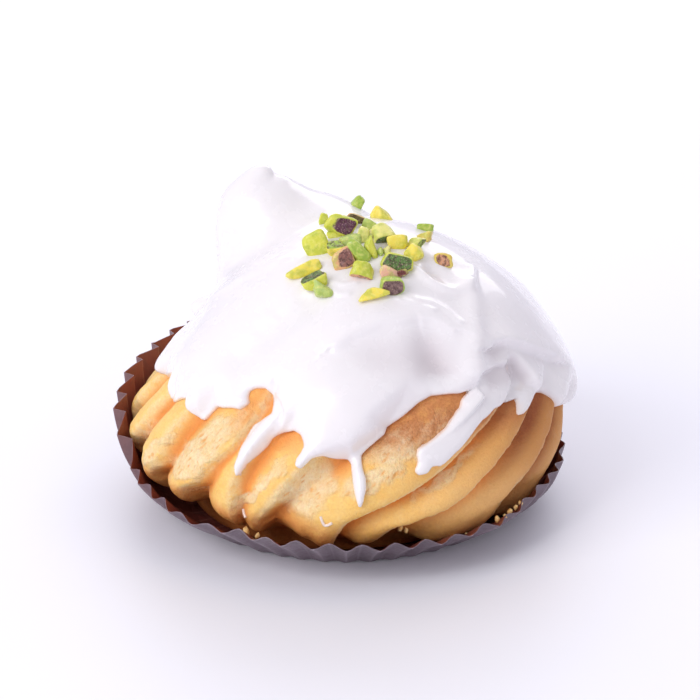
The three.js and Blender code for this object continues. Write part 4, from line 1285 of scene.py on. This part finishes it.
def crumb_scatter():
    """A tree that sets the crumb on each point, sized by the point's mark and turned at random."""
    inputs = [("Places", "Geometry"), ("Crumb", "Object"), ("Seed", "Int"), ("Choux", "Material")]
    tree, into, out = start_tree("strew crumbs", inputs, "Strewn")
    crumb = tree.nodes.new("GeometryNodeObjectInfo")
    link(tree, into.outputs["Crumb"], crumb.inputs["Object"])
    turn = tree.nodes.new("FunctionNodeRandomValue")
    turn.data_type = "FLOAT_VECTOR"
    turn.inputs["Max"].default_value = (math.tau, math.tau, math.tau)
    link(tree, into.outputs["Seed"], turn.inputs["Seed"])
    rotation = tree.nodes.new("FunctionNodeEulerToRotation")
    link(tree, turn.outputs["Value"], rotation.inputs[0])
    place = tree.nodes.new("GeometryNodeInstanceOnPoints")
    link(tree, into.outputs["Places"], place.inputs["Points"])
    link(tree, crumb.outputs["Geometry"], place.inputs["Instance"])
    link(tree, rotation.outputs[0], place.inputs["Rotation"])
    link(tree, read_mark(tree, "size"), place.inputs["Scale"])
    finish_tree(tree, place.outputs[0], "Choux", into, out)
    return tree


def crumb_material():
    """Dry baked crumb, golden and pale in specks."""
    material, tree, shader = new_material("choux crumbs")
    tone, specks = mottled(tree, 900, 3, 0.6, (0.35, 0.65), srgb(254, 228, 168), srgb(240, 186, 108))
    link(tree, tone, shader.inputs["Base Color"])
    shader.inputs["Roughness"].default_value = 0.65
    link(tree, bump(tree, specks, 0.15, 0.7), shader.inputs["Normal"])
    return material


crumb_table = np.array(CRUMB_PLACES)
crumb_bearing = np.radians(crumb_table[:, 0])
crumb_out = crumb_table[:, 1]
crumb_spots = np.stack([
    crumb_out * np.sin(crumb_bearing), -crumb_out * np.cos(crumb_bearing), crumb_table[:, 2],
], -1)
crumb_points = bpy.data.meshes.new("crumb places")
crumb_points.from_pydata((crumb_spots * 0.001).tolist(), [], [])
crumb_points.attributes.new("size", "FLOAT", "POINT").data.foreach_set("value", crumb_table[:, 3])
crumbs = bpy.data.objects.new("pastry_crumbs", crumb_points)
bpy.context.scene.collection.objects.link(crumbs)
one_crumb = crumb_shape()
apply_tree(crumbs, crumb_scatter(), {"Crumb": one_crumb, "Seed": CRUMB_SEED, "Choux": crumb_material()})
bpy.data.objects.remove(one_crumb)
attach(crumbs, "root")
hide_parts("choux_bun")

# ---------------------------------------------------------------- chopped pistachio
# Shelled pistachio kernels chopped to crumbs of 1 to 6 mm: the cut faces are yellow to green, and some
# crumbs keep a patch of thin skin, purple, brown or deep green. They are pressed into the icing by hand.

NUT_COLOURS = {  # as they look in daylight, 0 to 255
    "yellow": (246, 226, 92), "lime": (214, 216, 76), "green": (164, 194, 74), "deep": (96, 134, 66),
    "sage": (184, 206, 120), "pale": (236, 232, 140), "cream": (240, 226, 160), "pink": (240, 184, 166),
    "rosy": (228, 172, 128), "ochre": (226, 196, 92), "tan": (214, 156, 120), "rust": (144, 96, 88),
    "brown": (132, 104, 100), "purple": (92, 44, 72), "dark": (116, 54, 50), "olive_skin": (112, 98, 58),
}
# middle across, back and up; length, width, thickness; slant of the long side as seen from the front,
# roll about it (0 shows the skin); which cut; colour of the flesh and of the skin
NUT_PIECES = [
    (1.9, 14.7, 56.4, 3.8, 2.0, 1.9, 55, 180, 0, "green", "green"),
    (-4.6, 3.5, 57.0, 2.2, 1.4, 1.4, 85, 180, 4, "lime", "green"),
    (-1.9, -4.6, 56.2, 3.6, 1.9, 1.9, 2, 180, 5, "lime", "green"),
    (-1.2, -4.3, 58.1, 5.2, 3.3, 2.2, -22, 0, 3, "lime", "purple"),
    (1.6, -0.1, 57.8, 4.7, 2.3, 1.7, -8, 15, 6, "rosy", "olive_skin"),
    (6.9, 6.9, 56.2, 4.5, 2.6, 2.2, -48, 180, 0, "yellow", "green"),
    (4.4, -3.0, 57.3, 2.8, 2.2, 1.9, -20, 180, 4, "sage", "green"),
    (7.3, -6.7, 57.0, 4.3, 3.7, 2.7, 20, 60, 5, "pale", "deep"),
    (3.1, -7.2, 57.2, 2.8, 1.8, 1.7, 80, 180, 4, "pale", "lime"),
    (4.6, -6.6, 57.2, 1.6, 1.2, 1.2, 20, 180, 5, "cream", "cream"),
    (-5.6, -8.9, 55.2, 5.2, 3.8, 2.6, -60, 180, 4, "lime", "yellow"),
    (-2.1, -10.5, 55.2, 3.0, 2.7, 2.2, 10, -50, 5, "yellow", "green"),
    (0.8, -8.2, 56.2, 4.0, 2.2, 1.7, 10, 180, 0, "sage", "green"),
    (2.1, -13.2, 55.6, 5.0, 2.5, 2.1, -48, 150, 0, "green", "lime"),
    (4.7, -11.9, 55.8, 4.3, 1.8, 1.8, -62, 180, 6, "lime", "lime"),
    (-0.7, -14.0, 54.2, 3.9, 3.3, 2.1, 28, 0, 3, "rosy", "rust"),
    (9.8, -8.3, 55.9, 3.6, 2.5, 2.2, 15, 180, 4, "yellow", "lime"),
    (7.7, -11.0, 55.2, 1.5, 1.2, 1.2, 20, 180, 5, "cream", "cream"),
    (6.4, -11.5, 55.1, 1.3, 1.2, 1.2, 40, 180, 5, "sage", "green"),
    (12.8, -10.9, 54.6, 3.1, 2.7, 2.2, -50, 180, 0, "yellow", "yellow"),
    (13.3, -7.4, 55.5, 3.0, 1.9, 1.7, 60, 60, 5, "pale", "green"),
    (15.5, 3.2, 55.1, 3.0, 1.6, 1.6, 5, 180, 4, "green", "lime"),
    (15.2, -3.4, 55.3, 2.9, 1.8, 1.7, 10, 180, 5, "ochre", "rust"),
    (9.5, -14.6, 54.0, 5.5, 2.7, 2.1, -8, 0, 0, "lime", "deep"),
    (7.8, -16.9, 52.7, 3.1, 2.4, 1.9, -50, 180, 2, "pink", "pink"),
    (10.3, -16.6, 52.5, 2.2, 1.2, 1.4, 20, 0, 4, "rust", "dark"),
    (8.4, -20.1, 51.3, 4.2, 2.6, 2.1, 6, 20, 0, "green", "brown"),
    (3.2, -17.1, 53.1, 4.4, 2.9, 2.4, -12, 75, 5, "lime", "rosy"),
    (-8.2, -14.3, 52.4, 6.2, 2.2, 1.9, 18, 180, 2, "yellow", "yellow"),
    (-5.9, -17.7, 51.2, 4.4, 2.8, 2.4, 28, -60, 5, "lime", "deep"),
    (-4.4, -20.4, 50.4, 4.0, 2.3, 1.6, -18, 180, 6, "sage", "green"),
    (5.1, -22.2, 50.1, 5.0, 2.3, 1.9, -5, 180, 1, "yellow", "yellow"),
    (18.4, -9.5, 52.5, 3.3, 2.6, 2.2, 0, 0, 4, "ochre", "tan"),
]
NUT_FACING = 69.0  # degrees that a crumb's flat side is tipped up from level to face the front
NUT_CUTS = 7
NUT_POINTED = {1: 1, 2: -1, 6: 1}  # the cuts that narrow towards one end
NUT_EDGE = 6  # how crisp the edges between faces are
NUT_FIRST_SEED = 100
NUT_SIDE_TILT = 0.28  # how far the five side and bottom faces tilt at most
NUT_POINT_TILT = 0.7
NUT_SIDE_REACH = 0.46  # distance of these faces from the middle
NUT_CORNER_REACH = (0.5, 0.6)  # nearest and farthest of the three cuts across corners
NUT_SKIN_REACH = 0.42
NUT_SKIN_SPREAD = 0.35  # how much farther the skin's rounding lies at its sides
NUT_LUMPS = ((0.09, 0.5, 40), (0.03, 0.18, 60))  # height, width and first seed
NUT_GROWTH = 1.16
NUT_PLUMPNESS = 1.14


def nut_crumb(cut):
    """One chopped crumb, 1 mm long, wide and thick: flat cuts round a middle, and curved skin on top."""
    draws = np.random.default_rng(NUT_FIRST_SEED + cut)
    work = bmesh.new()
    bmesh.ops.create_icosphere(work, subdivisions=4, radius=1.0)
    rays = np.array([vertex.co[:] for vertex in work.verts])
    sides = np.array([(1, 0, 0), (-1, 0, 0), (0, 1, 0), (0, -1, 0), (0, 0, -1)], float)
    sides = sides + draws.uniform(-NUT_SIDE_TILT, NUT_SIDE_TILT, sides.shape)
    sides[2:4, 0] += NUT_POINT_TILT * NUT_POINTED.get(cut, 0)
    corners = draws.normal(size=(3, 3))
    normals = np.vstack([sides, corners])
    normals /= np.linalg.norm(normals, axis=1)[:, None]
    reach = np.append(np.full(len(sides), NUT_SIDE_REACH), draws.uniform(*NUT_CORNER_REACH, len(corners)))
    facing = np.maximum(rays @ normals.T, 0) / reach
    curved = np.maximum(rays[:, 2], 0)
    skin = curved / (NUT_SKIN_REACH * (1 + NUT_SKIN_SPREAD * (1 - curved)))
    terms = np.column_stack([facing, skin]) ** NUT_EDGE
    total = terms.sum(axis=1)
    size = total ** (-1 / NUT_EDGE)
    size *= sum((rise * grain(rays, width, seed + cut) for rise, width, seed in NUT_LUMPS), start=1)
    points = rays * size[:, None]
    points -= (points.max(axis=0) + points.min(axis=0)) / 2
    points /= points.max(axis=0) - points.min(axis=0)
    faces = [[vertex.index for vertex in face.verts] for face in work.faces]
    work.free()
    crumb = new_piece("nut_cut_%d" % cut, points, faces, marks={"skin": terms[:, -1] / total})
    bpy.context.scene.collection.objects.unlink(crumb)
    return crumb


def nut_scatter():
    """A tree that sets one of the crumbs on each point, turned and sized by the point's marks."""
    inputs = [("Places", "Geometry"), ("Crumbs", "Collection"), ("Nut", "Material")]
    tree, into, out = start_tree("set crumbs on points", inputs, "Scattered")
    crumbs = tree.nodes.new("GeometryNodeCollectionInfo")
    crumbs.inputs["Separate Children"].default_value = True
    crumbs.inputs["Reset Children"].default_value = True
    link(tree, into.outputs["Crumbs"], crumbs.inputs["Collection"])
    place = tree.nodes.new("GeometryNodeInstanceOnPoints")
    place.inputs["Pick Instance"].default_value = True
    link(tree, into.outputs["Places"], place.inputs["Points"])
    link(tree, crumbs.outputs[0], place.inputs["Instance"])
    link(tree, read_mark(tree, "cut", "INT"), place.inputs["Instance Index"])
    turn = tree.nodes.new("FunctionNodeEulerToRotation")
    link(tree, read_mark(tree, "turn", "FLOAT_VECTOR"), turn.inputs[0])
    link(tree, turn.outputs[0], place.inputs["Rotation"])
    link(tree, read_mark(tree, "size", "FLOAT_VECTOR"), place.inputs["Scale"])
    finish_tree(tree, place.outputs[0], "Nut", into, out)
    return tree


NUT_GREENER = srgb(160, 184, 64)
NUT_PALER = srgb(250, 242, 150)
NUT_SKIN_VEIN = srgb(66, 30, 36)
NUT_SKIN_SPECK = srgb(206, 172, 160)


def nut_material():
    """Cut nut flesh in veins of paler green, and wrinkled skin with a wavy edge."""
    material, tree, shader = new_material("pistachio")
    veins = noise(tree, 1400, 3, 0.6)
    specks = noise(tree, 3800, 2, 0.6)
    patches = noise(tree, 520, 2, 0.5)
    flesh = point_mark(tree, "flesh", "Color")
    flesh = blend_colours(tree, spread(tree, patches, 0.42, 0.62, 0.0, 0.5), flesh, NUT_GREENER)
    flesh = blend_colours(tree, spread(tree, veins, 0.4, 0.75, 0.0, 0.5), flesh, NUT_PALER)
    peel = point_mark(tree, "peel", "Color")
    peel = blend_colours(tree, spread(tree, veins, 0.42, 0.62, 0.0, 0.75), peel, NUT_SKIN_VEIN)
    peel = blend_colours(tree, spread(tree, specks, 0.55, 0.7, 0.0, 0.6), peel, NUT_SKIN_SPECK)
    skin = maths(tree, "SUBTRACT", point_mark(tree, "skin"), 0.25)
    wavy_edge = maths(tree, "MULTIPLY_ADD", veins, 0.5, skin)
    tone = blend_colours(tree, spread(tree, wavy_edge, 0.4, 0.6), flesh, peel)
    link(tree, tone, shader.inputs["Base Color"])
    link(tree, spread(tree, specks, 0.3, 0.7, 0.26, 0.44), shader.inputs["Roughness"])
    shader.inputs["Subsurface Weight"].default_value = 0.2
    shader.inputs["Subsurface Radius"].default_value = (0.0008, 0.0010, 0.0003)
    shader.inputs["Subsurface Scale"].default_value = 1.0
    link(tree, bump(tree, specks, 0.06, 0.7, bump(tree, veins, 0.15, 0.7)), shader.inputs["Normal"])
    return material


nut_places = bpy.data.meshes.new("nut places")
nut_places.from_pydata([[value * 0.001 for value in row[:3]] for row in NUT_PIECES], [], [])
nut_growth = NUT_GROWTH * np.array([1, NUT_PLUMPNESS, NUT_PLUMPNESS])
nut_cuts, nut_turns, nut_sizes, nut_flesh, nut_peel = [], [], [], [], []
for *middle, length, width, thickness, slant, roll, cut, flesh_name, skin_name in NUT_PIECES:
    turn = Matrix.Rotation(math.radians(NUT_FACING), 3, "X")
    turn = turn @ Matrix.Rotation(math.radians(slant), 3, "Z")
    turn = turn @ Matrix.Rotation(math.radians(roll), 3, "X")
    nut_cuts.append(cut)
    nut_turns.append(turn.to_euler()[:])
    nut_sizes.append(np.array([length, width, thickness]) * nut_growth)
    nut_flesh.append(srgb(*NUT_COLOURS[flesh_name]))
    nut_peel.append(srgb(*NUT_COLOURS[skin_name]))
nut_marks = (
    ("cut", "INT", "value", nut_cuts),
    ("turn", "FLOAT_VECTOR", "vector", np.array(nut_turns).ravel()),
    ("size", "FLOAT_VECTOR", "vector", np.array(nut_sizes).ravel()),
    ("flesh", "FLOAT_COLOR", "color", np.array(nut_flesh).ravel()),
    ("peel", "FLOAT_COLOR", "color", np.array(nut_peel).ravel()),
)
for mark_name, kind, field_name, values in nut_marks:
    nut_places.attributes.new(mark_name, kind, "POINT").data.foreach_set(field_name, values)
nuts = bpy.data.objects.new("chopped_pistachio", nut_places)
bpy.context.scene.collection.objects.link(nuts)
nut_crumbs = bpy.data.collections.new("crumbs to choose from")
for cut in range(NUT_CUTS):
    nut_crumbs.objects.link(nut_crumb(cut))
apply_tree(nuts, nut_scatter(), {"Crumbs": nut_crumbs, "Nut": nut_material()})
for crumb in list(nut_crumbs.objects):
    bpy.data.objects.remove(crumb)
bpy.data.collections.remove(nut_crumbs)
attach(nuts, "root")
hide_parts("icing")

# ---------------------------------------------------------------- table, light and camera
# A plain white table that bends up behind, under soft daylight from the upper left, seen from a little
# above as in the photograph.

CAMERA_AIM = (0.6, 0.0, 30.7)
CAMERA_HEIGHT_ANGLE = 21.0  # degrees above the table
CAMERA_DISTANCE = 389.0
CAMERA_LENS = 100.0  # focal length for a frame 36 mm wide
TABLE_HALF_WIDTH = 2500
TABLE_DEPTHS = (-2000, 0, 1200)  # the last is where the bend starts
TABLE_BEND = 800  # radius
TABLE_TOP = 2400
TABLE_DROP = 0.01  # how far the table lies under the paper
DAYLIGHT = ((0.96, 0.94, 1.0, 1.0), 0.64)  # colour and strength
# place and aim in metres, sizes, power in watts, colour
LIGHTS = {
    "key": ((-0.50, -0.40, 0.42), (0, 0, 0.03), (0.42, 0.42), 2.5, (1.0, 0.99, 0.98)),
    "window": ((-0.30, -0.42, 0.62), (0, 0, 0.03), (0.12, 0.09), 0.35, (1.0, 1.0, 1.0)),
    "fill": ((0.55, -0.55, 0.40), (0, 0, 0.02), (0.7, 0.5), 0.4, (0.97, 0.96, 1.0)),
    "back": ((0.12, 0.75, 0.55), (0, 0, 0.03), (1.0, 0.5), 3.2, (1.0, 0.98, 1.0)),
    "backdrop": ((0.0, 0.9, 1.5), (0, 2.0, 0.7), (2.0, 0.5), 6.5, (1.0, 0.98, 1.0)),
}


def table_material():
    """White, very faintly uneven."""
    material, tree, shader = new_material("white table")
    tone, _ = mottled(tree, 6, 2, 0.5, (0.3, 0.7), srgb(240, 240, 249), srgb(243, 243, 250))
    link(tree, tone, shader.inputs["Base Color"])
    shader.inputs["Roughness"].default_value = 0.5
    return material


def soft_light(name, place, aim, size, power, colour):
    """A rectangle of soft light, turned to face its aim."""
    light = bpy.data.lights.new(name, "AREA")
    light.shape = "RECTANGLE"
    light.size, light.size_y = size
    light.energy = power
    light.color = colour
    lamp = bpy.data.objects.new(name, light)
    lamp.location = place
    lamp.rotation_euler = (Vector(aim) - Vector(place)).to_track_quat("-Z", "Y").to_euler()
    bpy.context.scene.collection.objects.link(lamp)


sweep_rows = [(depth, 0.0) for depth in TABLE_DEPTHS]
for turn in np.radians(np.arange(10, 91, 10)):
    depth = TABLE_DEPTHS[-1] + TABLE_BEND * math.sin(turn)
    sweep_rows.append((depth, TABLE_BEND * (1 - math.cos(turn))))
sweep_rows.append((TABLE_DEPTHS[-1] + TABLE_BEND, TABLE_TOP))
sweep_sides = (-TABLE_HALF_WIDTH, TABLE_HALF_WIDTH)
sweep_points = [(x, depth, height - TABLE_DROP) for depth, height in sweep_rows for x in sweep_sides]
sweep_faces = [(2 * i, 2 * i + 1, 2 * i + 3, 2 * i + 2) for i in range(len(sweep_rows) - 1)]
table = new_piece("table_sweep", sweep_points, sweep_faces)
table.data.materials.append(table_material())

for light_name, light_row in LIGHTS.items():
    soft_light(light_name, *light_row)
world = bpy.data.worlds.new("daylight")
world.use_nodes = True
daylight = world.node_tree.nodes["Background"].inputs
daylight["Color"].default_value, daylight["Strength"].default_value = DAYLIGHT
bpy.context.scene.world = world
bpy.context.scene.view_settings.view_transform = "Standard"

tilt = math.radians(CAMERA_HEIGHT_ANGLE)
aim = Vector(CAMERA_AIM) * 0.001
lens = bpy.data.cameras.new("camera")
lens.lens = CAMERA_LENS
lens.sensor_width = 36.0
lens.clip_end = 20.0
camera = bpy.data.objects.new("camera", lens)
towards_camera = Vector((0.0, -math.cos(tilt), math.sin(tilt)))
camera.location = aim + towards_camera * CAMERA_DISTANCE * 0.001
camera.rotation_euler = (aim - camera.location).to_track_quat("-Z", "Y").to_euler()
bpy.context.scene.collection.objects.link(camera)
bpy.context.scene.camera = camera
